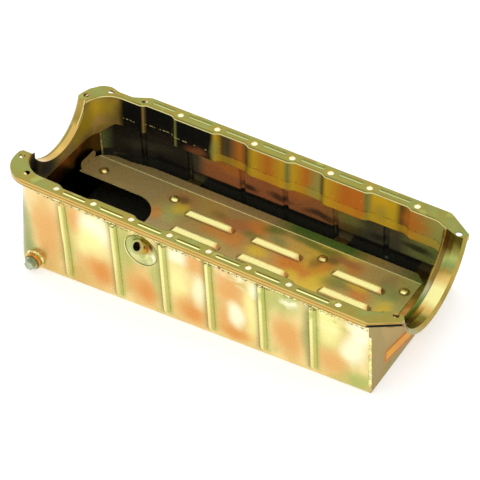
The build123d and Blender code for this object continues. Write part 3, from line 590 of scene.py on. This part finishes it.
def saddles(paint, zinc):
    """Colour of both seal saddles, in bands of painted reflection round their arcs, with painted highlight
    and painted shade lines at their edges.
    """
    x = paint.x
    moss, olive, gold, straw = zinc.moss, zinc.olive, zinc.gold, zinc.straw
    fern, ochre, slate, umber = zinc.fern, zinc.ochre, zinc.slate, zinc.umber
    brass = zinc.brass
    place = paint.y + (paint.noise(24.0, 1.0) - 0.5) * 16.0
    front = paint.along(place, (
        (-60, ochre), (-45, fern), (-34, ochre), (-14, fern), (6, gold), (20, straw), (38, straw),
        (50, gold), (58, ochre), (66, moss), (74, olive), (82, fern), (92, moss),
    ), -100.0, 100.0)
    rear = paint.along(place, (
        (-74, fern), (-62, fern), (-52, slate), (-32, slate), (-18, moss), (4, ochre), (24, ochre),
        (36, gold), (44, gold), (55, ochre), (66, brass), (76, ochre), (90, brass),
    ), -100.0, 100.0)
    colour = paint.mix(x.step(-10.0, 10.0), rear, front)
    # Painted shade: a dark line at each saddle's rim.
    rim = nearest(x, (FRONT_RIM, REAR_RIM)).before(0.6)
    colour = paint.mix(rim, colour, umber)
    # The front saddle's roll: a pale green painted highlight over teal, with brown painted shade low down.
    roll = paint.mix(paint.noise(9.0, 1.0).step(0.4, 0.6), zinc.leaf, zinc.mint)
    low = paint.z.step(-58.0, -72.0)
    roll = paint.mix(low, paint.mix(0.5, ochre, umber), roll)
    colour = paint.mix(x.band(310.0, 318.6, 0.6), colour, roll)
    # Painted shade: dark lines at the flares.
    flare = x.band(318.4, 319.8, 0.4) + x.band(-258.8, -257.6, 0.3)
    colour = paint.mix(flare * 0.8, colour, umber)
    # Painted highlight: bright lines at the outer edges of the saddles.
    bright = x.past(FRONT_RIM + 1.1) + x.before(REAR_RIM - 1.1)
    bright = bright + x.band(-260.6, -259.2, 0.3)
    return paint.mix(bright.at_most(1.0) * 0.8, colour, straw)


def rail_coat(name):
    """Plating of the rail: green top, bright beads with painted highlight lines, gold edge, and a skirt
    painted with reflection and shade from black to gold.
    """
    paint = Paint(name)
    zinc = paint.zinc
    x, y, z = paint.x, paint.y, paint.z
    out = outward(paint, -250.0, 300.0)
    near_side = y.step(0.0, -5.0)
    level = paint.nz.step(0.55, 0.75) * z.step(-4.5, -3.0)
    near_skirt = clouds(paint, zinc.gold, zinc.amber, zinc.olive, 0.8, 14.0, 5.0)
    skirt = paint.mix(near_side, far_skirt(paint, zinc), near_skirt)
    skirt = paint.mix(x.step(-214.0, -226.0), skirt, rear_skirt(paint, zinc))
    # Painted highlight: a bright double line along the far inner bend.
    bend = (1.0 - out) * z.step(-3.0, -2.4)
    lines = z.band(-0.9, -0.1, 0.15) + z.band(-2.4, -1.4, 0.2)
    rolled = paint.mix(lines * (1.0 - near_side), zinc.ochre, zinc.straw)
    skirt = paint.mix(bend, skirt, rolled)
    rim = z.past(-RAIL_LIP - 1.0, 0.5)
    side = paint.mix(out * rim, skirt, rail_lip(paint, zinc, near_side))
    side = paint.mix(out * (1.0 - rim), side, zinc.gold)
    lip_face = out * (x.past(FRONT_RIM - 4.0, 1.0) + x.before(REAR_RIM + 4.0, 1.0)).at_most(1.0)
    lip_face = lip_face * abs(y).step(93.0, 91.5)
    lip_tint = clouds(paint, zinc.ochre, zinc.fern, zinc.brass, 0.8, 24.0)
    side = paint.mix(lip_face, side, lip_tint)
    ends = (x.past(FRONT_SADDLE) + x.before(REAR_SADDLE)).at_most(1.0) * (1.0 - out)
    side = paint.mix(ends, side, saddles(paint, zinc))
    colour = paint.mix(level, side, flange_top(paint, zinc, near_side))
    # Painted light: a glow on the hidden faces seen through the bolt holes.
    cavity = out * z.band(-24.0, -2.2, 0.4) * abs(y).band(102.0, 118.0, 0.3)
    cavity = cavity * x.band(-218.0, 292.0, 3.0)
    paint.glow(cavity, paint.mix(near_side, zinc.white, zinc.mint))
    within = (1.0 - out) * z.step(0.0, -0.4) * (1.0 - ends)
    tip = (1.0 - out) * y.step(-58.0, -64.0) * x.step(-255.0, -258.0)
    return paint.plate(colour, 0.22, paint.noise(22.0), 0.002, 1.0 - within.at_least(tip) * 0.6)


def tray_coat(name):
    """Plating of the tray: brown at the rear, orange and green round the louvres, painted highlight on the
    hoods, fold and edges, painted shadow beside the hoods and round the screws.
    """
    paint = Paint(name)
    zinc = paint.zinc
    x, y, z = paint.x, paint.y, paint.z
    gold, straw, olive = zinc.gold, zinc.straw, zinc.olive
    moss, amber, umber = zinc.moss, zinc.amber, zinc.umber
    brass, bronze, leaf = zinc.brass, zinc.bronze, zinc.leaf
    yellow, red_brown = zinc.yellow, zinc.red_brown
    colour = paint.along(x, (
        (-260, bronze), (-130, bronze), (-70, brass), (20, brass), (80, gold), (150, yellow), (210, gold),
        (300, olive),
    ))
    colour = clouds(paint, colour, bronze, brass, 0.4, 12.0, 1.0)
    colour = paint.stains_and_light(colour, paint.grid(x, y), (
        (olive, -95, 30, 28, 24, 0.7), (amber, -112, 22, 16, 18, 0.7), (amber, 14, 28, 26, 22, 0.7),
        (amber, 34, 68, 26, 18, 0.8), (bronze, 0, 80, 34, 14, 0.8), (leaf, 60, 76, 22, 14, 0.8),
        (amber, 104, 24, 28, 20, 1.0), (amber, 132, 20, 24, 18, 0.9), (amber, 150, 44, 20, 20, 0.7),
        (umber, 138, 46, 12, 14, 0.5), (olive, 184, 38, 22, 18, 0.7), (leaf, 110, 78, 40, 10, 0.8),
        (leaf, 150, 74, 26, 12, 0.7), (amber, 192, 62, 18, 14, 0.6), (amber, 220, 20, 20, 16, 0.8),
        (bronze, 246, 62, 14, 20, 0.7), (olive, 262, 24, 26, 26, 0.8), (amber, 34, -30, 26, 22, 0.7),
        (amber, -40, -24, 24, 18, 0.6), (olive, 70, -20, 24, 20, 0.7), (amber, 160, -30, 26, 22, 0.8),
        (olive, -6, 4, 20, 14, 0.6), (leaf, 230, -50, 24, 18, 0.5), (olive, 90, -66, 34, 14, 0.6),
        (red_brown, 6, 56, 34, 16, 0.8), (red_brown, 96, 40, 30, 12, 0.8), (red_brown, 176, 70, 30, 10, 0.8),
        (red_brown, -92, 62, 30, 16, 0.5), (yellow, -84, 44, 16, 16, 0.7), (yellow, 56, 22, 20, 14, 0.8),
        (yellow, 158, 8, 22, 20, 0.8), (yellow, 262, 8, 20, 24, 0.7), (moss, 74, 56, 20, 12, 0.7),
        (umber, 156, 60, 14, 10, 0.7), (umber, -90, 60, 12, 9, 0.7), (umber, -30, 62, 20, 10, 0.4),
        (yellow, 120, 6, 20, 14, 0.7), (leaf, 186, 22, 26, 16, 0.6), (moss, 256, 44, 24, 20, 0.7),
        (yellow, 214, 34, 18, 12, 0.6), (amber, -20, 30, 22, 14, 0.6), (leaf, 36, 50, 18, 10, 0.5),
    ))
    wing = paint.along(x, (
        (-260, bronze), (40, bronze), (80, leaf), (170, leaf), (205, brass), (240, bronze), (290, leaf),
    ))
    reach = abs(y)
    colour = paint.mix(reach.past(TRAY_FOLD + 1.0, 1.0), colour, wing)
    # Painted highlight: a bright line along the fold.
    fold = reach.band(TRAY_FOLD - 0.8, TRAY_FOLD + 0.8)
    colour = paint.mix(fold, colour, straw)
    # Painted highlight: the raised hoods are painted pale yellow.
    raised = z.step(TRAY_TOP + 0.3, TRAY_TOP + 0.8) * x.step(-90.0, -85.0)
    along_hood = hood_place(paint)
    hood = paint.mix(along_hood.step(HOOD_END - 12.0, HOOD_END - 2.0), zinc.hood, zinc.peach)
    colour = paint.mix(raised, colour, hood)
    # Painted shadow: dark lines beside each hood and notches at its ends.
    across_hood = nearest(y, LOUVRE_ROWS)
    beside = across_hood.band(5.2, 7.0, 0.4) * abs(along_hood).before(HOOD_END - 0.5, 1.5)
    notch = abs(along_hood).band(HOOD_END - 1.5, HOOD_END + 1.5) * across_hood.before(4.1, 0.5)
    colour = paint.mix(beside.at_least(notch) * (1.0 - raised) * 0.8, colour, umber)
    # Painted shade: a dark ring round each screw head.
    ring = screw_distance(paint).band(6.4, 8.2, 0.4)
    colour = paint.mix(ring * 0.85, colour, umber)
    colour = paint.mix(paint.nz.step(0.1, -0.3), colour, gold)
    # Painted highlight: a bright line along the tray's edges.
    brink = paint.nz.band(-0.4, 0.4, 0.1) * z.before(TRAY_TOP + 0.1, 0.1)
    colour = paint.mix(brink, colour, straw)
    return paint.plate(colour, 0.24, paint.noise(24.0), 0.0015, 0.15 + raised * 0.7 - fold * 0.15)


def end_coat(name, inner_tints):
    """Plating of an end plate: an olive gold outside and a stained inside with painted shade towards the
    bottom.
    """
    paint = Paint(name)
    zinc = paint.zinc
    outside = clouds(paint, zinc.ochre, zinc.brass, zinc.fern, 0.6, 10.0)
    inside = clouds(paint, *inner_tints, 0.8, 14.0)
    # Painted shade: near black low down inside.
    inside = paint.mix(paint.z.step(-100.0, -108.0), inside, zinc.shade_black)
    colour = paint.mix(outward(paint), inside, outside)
    return paint.plate(colour, 0.26, paint.noise(20.0), 0.002)


def pocket_coat(name):
    """Plating of the dipstick pocket: a green dish, a painted shade line at the rim, maroon painted shade in
    the hollow beside the boss, and painted highlights on a facet and beyond the rim.
    """
    paint = Paint(name)
    zinc = paint.zinc
    colour = clouds(paint, zinc.celadon, zinc.olive, zinc.straw, 0.6, 40.0)
    across, up = paint.x - POCKET_X, paint.z - POCKET_Z
    reach = (across * across + up * up) ** 0.5
    # Ovals: the maroon one is painted shade in the hollow beside the boss, the white ones are painted
    # highlights, the others are tints.
    colour = paint.stains_and_light(colour, paint.grid(paint.x, paint.z, 2.0), (
        (zinc.maroon, -31, -38, 5, 9, 1.0), (zinc.amber, -35, -47, 4, 7, 0.7),
        (zinc.white, -25, -53, 5, 7, 1.0), (zinc.moss, -52, -24, 8, 4, 0.6),
        (zinc.white, -48, -26, 4, 2, 0.7), (zinc.celadon, -30, -57, 7, 4, 0.8),
    ))
    # Painted shade on the rim line, and a painted highlight beyond it.
    colour = paint.mix(reach.band(POCKET_RIM - 0.6, POCKET_RIM + 0.3, 0.4), colour, zinc.umber)
    colour = paint.mix(reach.step(POCKET_RIM + 0.4, POCKET_RIM + 1.2), colour, zinc.straw)
    return paint.plate(colour, 0.24, paint.noise(50.0), 0.001)


def boss_coat(name):
    """Plating of the dipstick boss: an olive face and gold sides round a bore painted black as shade."""
    paint = Paint(name)
    zinc = paint.zinc
    colour = clouds(paint, zinc.celadon, zinc.brass, zinc.olive, 0.6, 60.0)
    flat = math.cos(BOSS_TILT)
    way = (-math.sin(BOSS_TURN) * flat, -math.cos(BOSS_TURN) * flat, math.sin(BOSS_TILT))
    face = paint.nx * way[0] + paint.ny * way[1] + paint.nz * way[2]
    px, py, pz = (wire - place for wire, place in zip((paint.x, paint.y, paint.z), BOSS))
    along = px * way[0] + py * way[1] + pz * way[2]
    away = (px * px + py * py + pz * pz - along * along).at_least(0.0) ** 0.5
    colour = paint.mix(face.step(0.8, 0.5), colour, zinc.gold)
    # Painted shade: the open bore is painted black.
    colour = paint.mix(away.step(6.6, 6.4), colour, zinc.deep_shade)
    return paint.plate(colour, 0.26, paint.noise(90.0), 0.0006)


def put(node, material):
    """Gives a CAD node its material, in place of the plain one that it came with."""
    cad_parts[node].data.materials[0] = material


def placed(name, data):
    """A new object with that data, linked to the scene."""
    item = bpy.data.objects.new(name, data)
    bpy.context.scene.collection.objects.link(item)
    return item


class PAN_OT_rail(bpy.types.Operator):
    """Dresses the rail frame: the flange, its skirt and both seal saddles"""

    bl_idname = "pan.rail"
    bl_label = "Rail frame"

    def execute(self, context):
        put("rail_frame", rail_coat("rail_zinc"))
        return {"FINISHED"}


class PAN_OT_sump(bpy.types.Operator):
    """Dresses the sump box: the fluted wrap and both end plates"""

    bl_idname = "pan.sump"
    bl_label = "Sump box"

    def execute(self, context):
        zinc = context.scene.pan_zinc
        put("sump_wrap", sump_coat("sump_zinc"))
        put("front_end_plate", end_coat("front_plate_zinc", (zinc.moss, zinc.gold, zinc.olive)))
        put("rear_end_plate", end_coat("rear_plate_zinc", (zinc.umber, zinc.amber, zinc.slate)))
        return {"FINISHED"}


class PAN_OT_tray(bpy.types.Operator):
    """Dresses the windage tray, its supports, screws and nuts"""

    bl_idname = "pan.tray"
    bl_label = "Windage tray"

    def execute(self, context):
        zinc = context.scene.pan_zinc
        put("windage_tray", tray_coat("tray_zinc"))
        support = plated("support_zinc", zinc.gold, zinc.umber, zinc.olive)
        screw = plated("screw_zinc", zinc.straw, zinc.gold, zinc.olive)
        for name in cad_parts:
            if name.startswith(("tray_bracket", "cross_bar", "tray_ledge")):
                put(name, support)
            elif name.startswith(("tray_screw", "weld_nut")):
                put(name, screw)
        return {"FINISHED"}


class PAN_OT_dipstick(bpy.types.Operator):
    """Dresses the dipstick pocket and its boss"""

    bl_idname = "pan.dipstick"
    bl_label = "Dipstick pocket"

    def execute(self, context):
        put("dipstick_pocket", pocket_coat("pocket_zinc"))
        put("dipstick_boss", boss_coat("boss_zinc"))
        return {"FINISHED"}


class PAN_OT_drain(bpy.types.Operator):
    """Dresses the drain bung, its washer and plug"""

    bl_idname = "pan.drain"
    bl_label = "Drain"

    def execute(self, context):
        zinc = context.scene.pan_zinc
        put("drain_bung", plated("bung_zinc", zinc.gold, zinc.amber, zinc.straw))
        put("drain_plug", plated("plug_zinc", tone("b9c2a4"), tone("8fa08a"), tone("e6ead2"), 0.6))
        put("drain_washer", plated("washer_metal", tone("c79a4e"), tone("8a6a34"), tone("e0c080")))
        return {"FINISHED"}


def weld_skin(name, path, first, second, legs, sector, pitch, seed, closed=False):
    """Rippled weld bead as one closed skin along a joint, from sizes in mm.

    Every station of the path has a section: an arc that turns from the first side to the second with
    half sizes equal to the legs, and a root half a millimetre behind the joint. The arc's size is
    multiplied by a swell, which drifts at random between the thin and thick shares along the bead, and by
    a ripple of the trough's share plus the rest times the size of a sine of the length run. The sine lags
    at the middle of the arc, so the ripples bow. An open bead shrinks to a point at both ends along a
    quarter circle.
    """
    thin, thick, trough, lag, root_depth = 0.82, 1.12, 0.74, 0.45, 0.5
    path, first, second = (np.asarray(item, float) for item in (path, first, second))
    first, second = (np.broadcast_to(item, path.shape) for item in (first, second))
    run = np.concatenate([[0.0], np.cumsum(np.linalg.norm(np.diff(path, axis=0), axis=1))])
    total = run[-1] + (np.linalg.norm(path[0] - path[-1]) if closed else 0.0)
    beats = max(round(total / pitch), 3)
    knots = np.random.default_rng(seed).uniform(thin, thick, beats + 1)
    knots[-1] = knots[0]
    swell = np.interp(run, np.linspace(0.0, total, beats + 1), knots)
    angle = np.linspace(sector[0], sector[1], 9)
    middle = np.sin(np.pi * (angle - sector[0]) / (sector[1] - sector[0]))
    beat = np.pi * (run[:, None] * beats / total - lag * middle[None, :])
    size = swell[:, None] * (trough + (1.0 - trough) * np.abs(np.sin(beat)))
    if not closed:
        near_end = np.clip(np.minimum(run, total - run) / max(legs), 0.0, 1.0)
        size = size * np.sqrt(1.0 - (1.0 - near_end[:, None]) ** 2)
    arc = (path[:, None] + size[..., None] * legs[0] * np.cos(angle)[None, :, None] * first[:, None]
           + size[..., None] * legs[1] * np.sin(angle)[None, :, None] * second[:, None])
    bisector = (sector[0] + sector[1]) / 2
    root = path - root_depth * (math.cos(bisector) * first + math.sin(bisector) * second)
    return skin(name, np.concatenate([arc, root[:, None]], axis=1) * MM, closed)


def skin(name, rings, closed):
    """A mesh through rings of points: a loop of rings if closed, else with a single point at each end."""
    if not closed:
        ends = rings[0].mean(axis=0), rings[-1].mean(axis=0)
        rings = rings[1:-1]
    count, width = rings.shape[:2]
    index = np.arange(count * width).reshape(count, width)
    after = np.roll(index, -1, axis=1)
    corners = np.stack([index, after, np.roll(after, -1, axis=0), np.roll(index, -1, axis=0)], axis=-1)
    quads = (corners if closed else corners[:-1]).reshape(-1, 4)
    points = rings.reshape(-1, 3)
    caps = np.empty((0, 3), int)
    if not closed:
        low, high = len(points), len(points) + 1
        points = np.concatenate([points, ends])
        start = np.stack([after[0], index[0], np.full(width, low)], axis=-1)
        stop = np.stack([index[-1], after[-1], np.full(width, high)], axis=-1)
        caps = np.concatenate([start, stop])
    a, b, c = (points[quads[:, at]] - points.mean(axis=0) for at in range(3))
    if np.einsum("ij,ij->i", a, np.cross(b, c)).sum() < 0.0:
        quads, caps = quads[:, ::-1], caps[:, ::-1]
    mesh = bpy.data.meshes.new(name)
    mesh.from_pydata(points.tolist(), [], quads.tolist() + caps.tolist())
    mesh.shade_smooth()
    return placed(name, mesh)


def weld_coat(name):
    """Plating of the weld beads: pale and gold blobs with dark pits painted as shadow between the ripples,
    thickest along the lower toe.
    """
    paint = Paint(name)
    zinc = paint.zinc
    colour = clouds(paint, zinc.straw, zinc.peach, zinc.olive, 0.8, 90.0)
    patches = paint.noise(140.0, 2.0, 0.6)
    colour = paint.mix(patches.step(0.55, 0.62, 0.9), colour, zinc.white)
    # Painted shadow: dark pits between the ripples, black along the lower toe.
    pit_shade = paint.noise(210.0, 1.0, shift=(1.0, 5.0, 2.0))
    toe = paint.z.band(-14.6, -11.8)
    top = paint.z.step(-30.0, -20.0) * 0.7 + 0.3
    colour = paint.mix(pit_shade.step(0.62, 0.66) * top, colour, zinc.umber)
    colour = paint.mix(pit_shade.step(0.44, 0.5) * toe, colour, zinc.deep_shade)
    round_saddle = paint.x.step(300.0, 302.0) * abs(paint.y).step(104.0, 100.0)
    plain = clouds(paint, zinc.ochre, zinc.brass, zinc.moss, 0.7, 30.0)
    colour = paint.mix(round_saddle, colour, plain)
    return paint.finish(colour, 0.3 + patches * 0.1, paint.relief(patches, 0.0006))


class PAN_OT_welds(bpy.types.Operator):
    """Lays the rippled weld beads in place of the plain ones, and one round the front saddle"""

    bl_idname = "pan.welds"
    bl_label = "Weld beads"

    def execute(self, context):
        coat = weld_coat("weld_bead")
        quarter, half = (0.0, math.pi / 2), (-math.pi / 2, math.pi / 2)

        def lay(node, *shape, closed=False):
            """Lays one bead, in place of the plain one where the pan has it."""
            piece = weld_skin(f"{node}_ripples", *shape, closed)
            piece.data.materials.append(coat)
            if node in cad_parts:
                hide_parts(node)
            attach(piece, "root")

        corner_foot, corner_head = 4.0, 104.0
        ahead = (math.cos(FLOOR_SLOPE), 0.0, math.sin(FLOOR_SLOPE))
        for side, word in ((-1.0, "near"), (1.0, "far")):
            low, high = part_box(f"rail_weld_{word}")
            run = np.linspace(low.x, high.x, 760) / MM
            path = np.stack(np.broadcast_arrays(run, side * SUMP_HALF_WIDTH, -RAIL_LIP), axis=-1)
            lay(f"rail_weld_{word}", path, (0.0, side, 0.0), (0.0, 0.0, -1.0), (3.5, 6.2), quarter, 4.6,
                11 + int(side))
            heights = np.linspace(corner_foot, corner_head, 220)
            path = on_floor(SUMP_FRONT, heights, side * SUMP_HALF_WIDTH) / MM
            path = path[path[:, 2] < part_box(f"front_corner_weld_{word}")[1].z / MM]
            lay(f"front_corner_weld_{word}", path, ahead, (0.0, side, 0.0), (2.5, 2.5),
                (-math.pi / 2, math.pi), 4.4, 21 + int(side))

        seam_foot, seam_head, across, along = 16.0, 90.0, 0.674, 0.739
        path = on_floor(SEAM_STATION, np.linspace(seam_foot, seam_head, 160), END_PLATE_HALF_WIDTH) / MM
        lay("rear_seam_weld", path, (across, along, 0.0), (along, -across, 0.0), (2.4, 2.4),
            (0.0, math.pi), 4.2, 31)

        turn = np.linspace(0.0, 2 * math.pi, 240, endpoint=False)
        out = np.stack([np.cos(turn), np.zeros_like(turn), np.sin(turn)], axis=-1)
        hub, bung_radius = np.array([DRAIN_X, -SUMP_HALF_WIDTH, DRAIN_Z]), 12.5
        lay("drain_weld", hub + bung_radius * out, out, (0.0, -1.0, 0.0), (3.4, 3.2), quarter, 4.4, 41,
            closed=True)

        arc_end, flare_start = 1.34, 312.4
        turn = np.linspace(-arc_end, arc_end, 420)
        z = SEAL_HEIGHT - SEAL_RADIUS * np.cos(turn)
        plate = (SUMP_FRONT - (FLOOR_DEPTH + z) * math.sin(FLOOR_SLOPE)) / math.cos(FLOOR_SLOPE)
        path = np.stack([(plate + flare_start) / 2, SEAL_RADIUS * np.sin(turn), z], axis=-1)
        out = np.stack([np.zeros_like(turn), np.sin(turn), -np.cos(turn)], axis=-1)
        lay("front_saddle_weld", path, out, (1.0, 0.0, 0.0), (3.2, 3.0), half, 4.6, 51)
        return {"FINISHED"}


def label_place(y, height):
    """Distances in mm along and across the label from its middle, from a place on the front plate."""
    across, up = y - LABEL_Y, height - LABEL_HEIGHT
    along, over = math.cos(LABEL_LEAN), math.sin(LABEL_LEAN)
    return across * along + up * over, up * along - across * over


def label_coat(name):
    """Blank label: an orange field inside a red brown border."""
    paint = Paint(name)
    zinc = paint.zinc
    fade = paint.noise(60.0)
    field = paint.mix(fade.step(0.3, 0.7, 0.4), zinc.label, zinc.yellow)
    u, v = label_place(paint.y, paint.height)
    u, v = abs(u) - LABEL_HALF_LENGTH, abs(v) - LABEL_HALF_WIDTH
    edge = (u + 2.9).at_least(v + 3.0).past(0.0, 0.3)
    outer = (u + 1.1).at_least(v + 1.0).past(0.0, 0.2)
    colour = paint.mix(edge, field, zinc.border)
    colour = paint.mix(outer, colour, zinc.label)
    return paint.finish(colour, 0.45 + fade * 0.1, metallic=0.0)


class PAN_OT_label(bpy.types.Operator):
    """Sticks a blank label on the front plate"""

    bl_idname = "pan.label"
    bl_label = "Blank label"

    def execute(self, context):
        corner, thick, edge_drop = 2.5, 0.25, 0.08
        turn = np.linspace(0.0, 2 * math.pi, 48, endpoint=False)
        u = np.sign(np.cos(turn)) * (LABEL_HALF_LENGTH - corner) + corner * np.cos(turn)
        v = np.sign(np.sin(turn)) * (LABEL_HALF_WIDTH - corner) + corner * np.sin(turn)
        y = u * math.cos(LABEL_LEAN) - v * math.sin(LABEL_LEAN)
        height = u * math.sin(LABEL_LEAN) + v * math.cos(LABEL_LEAN)
        steps = ((0.0, 0.0), (1.0, 0.0), (1.0, thick - edge_drop), (0.995, thick), (0.0, thick))
        rings = [on_floor(SUMP_FRONT + lift, LABEL_HEIGHT + height * share, LABEL_Y + y * share)
                 for share, lift in steps]
        piece = skin("front_label", np.array(rings), False)
        piece.data.materials.append(label_coat("label_paper"))
        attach(piece, "root")
        return {"FINISHED"}


class PAN_OT_stage(bpy.types.Operator):
    """Sets the floor, the even studio light and the camera"""

    bl_idname = "pan.stage"
    bl_label = "Stage"

    def execute(self, context):
        layout = context.scene.pan_stage
        scene = context.scene
        scene.view_settings.view_transform = "Standard"
        half = 4000.0
        across, along = np.array([-1, -1, 1, 1]) * half, np.array([-1, 1, 1, -1]) * half
        mesh = bpy.data.meshes.new("stage_floor")
        mesh.from_pydata(on_floor(along, 0.0, across).tolist(), [], [(0, 1, 2, 3)])
        floor = placed("stage_floor", mesh)
        mesh.materials.append(backdrop())
        sky(scene, layout.light)
        lamp("key_softbox", (0.5, -1.3, 1.9), (1.4, 0.9), 3.0)
        lamp("rim_softbox", (-0.9, 1.4, 1.5), (1.2, 0.7), 0.8)
        camera_data = bpy.data.cameras.new("pan_camera")
        camera_data.sensor_width = 36.0
        camera_data.lens = layout.lens
        camera_data.clip_start = 0.05
        camera_data.clip_end = 30.0
        camera = placed("pan_camera", camera_data)
        aim = aimed(layout.camera_place, layout.camera_target)
        camera.matrix_world = aim @ Matrix.Rotation(layout.camera_roll, 4, "Z")
        scene.camera = camera
        return {"FINISHED"}


def aimed(place, target):
    """The matrix of a camera or lamp at a place, turned to look at a target."""
    place = Vector(place)
    return Matrix.Translation(place) @ (Vector(target) - place).to_track_quat("-Z", "Y").to_matrix().to_4x4()


def lamp(name, place, size, power):
    """A soft rectangular lamp aimed at the pan."""
    data = bpy.data.lights.new(name, "AREA")
    data.shape = "RECTANGLE"
    data.size, data.size_y = size
    data.energy = power
    placed(name, data).matrix_world = aimed(place, (0.0, 0.0, -0.05))


def seen_or_mirrored(tree):
    """1 for rays from the camera and for mirrored or refracted ones, else 0."""
    outputs = tree.add("ShaderNodeLightPath", {}, out=None).outputs
    kinds = ("Camera", "Glossy", "Transmission")
    seen, mirrored, refracted = (Wire(tree, outputs[f"Is {kind} Ray"]) for kind in kinds)
    return seen.at_least(mirrored).at_least(refracted)


def backdrop():
    """Pale floor: a soft white that keeps the pan's shadow and shows a little of its own light."""
    material = bpy.data.materials.new("stage_paper")
    material.use_nodes = True
    material.node_tree.nodes.clear()
    tree = Tree(material.node_tree)
    matt = tree.add("ShaderNodeBsdfDiffuse", {}, Color=(0.8, 0.8, 0.8))
    shine = tree.add("ShaderNodeEmission", {}, Strength=seen_or_mirrored(tree) * 0.45)
    tree.add("ShaderNodeOutputMaterial", {}, tree.add("ShaderNodeAddShader", {}, matt, shine), out=None)
    return material


def sky(scene, strength):
    """Even light for the scene, white where the camera or a mirrored ray sees it."""
    world = bpy.data.worlds.new("studio_white")
    scene.world = world
    world.use_nodes = True
    tree = Tree(world.node_tree)
    background = tree.tree.nodes["Background"]
    tree.feed(background.inputs["Color"], (1.0, 1.0, 1.0))
    shown = tree.add("ShaderNodeMapRange", {}, seen_or_mirrored(tree), 0.0, 1.0, strength, 1.0)
    tree.feed(background.inputs["Strength"], shown)


STEPS = (
    PAN_OT_rail, PAN_OT_sump, PAN_OT_tray, PAN_OT_dipstick,
    PAN_OT_drain, PAN_OT_welds, PAN_OT_label, PAN_OT_stage,
)


class PAN_PT_panel(bpy.types.Panel):
    """Lists the pan's pieces and their settings"""

    bl_idname = "PAN_PT_panel"
    bl_label = "Oil Pan"
    bl_space_type = "VIEW_3D"
    bl_region_type = "UI"
    bl_category = "Oil Pan"

    def draw(self, context):
        for group in (context.scene.pan_zinc, context.scene.pan_stage):
            box = self.layout.box()
            for name in group.__annotations__:
                box.prop(group, name)
        for step in STEPS:
            self.layout.operator(step.bl_idname)


CLASSES = (ZincFinish, StageLayout, *STEPS, PAN_PT_panel)


def register():
    """Adds the classes and the scene's two property groups."""
    for item in CLASSES:
        bpy.utils.register_class(item)
    bpy.types.Scene.pan_zinc = bpy.props.PointerProperty(type=ZincFinish)
    bpy.types.Scene.pan_stage = bpy.props.PointerProperty(type=StageLayout)


def unregister():
    """Takes the classes and the property groups away again."""
    del bpy.types.Scene.pan_stage
    del bpy.types.Scene.pan_zinc
    for item in reversed(CLASSES):
        bpy.utils.unregister_class(item)


def main():
    """Builds every piece in order."""
    register()
    for step in STEPS:
        area, name = step.bl_idname.split(".")
        getattr(getattr(bpy.ops, area), name)()


if __name__ == "__main__":
    main()
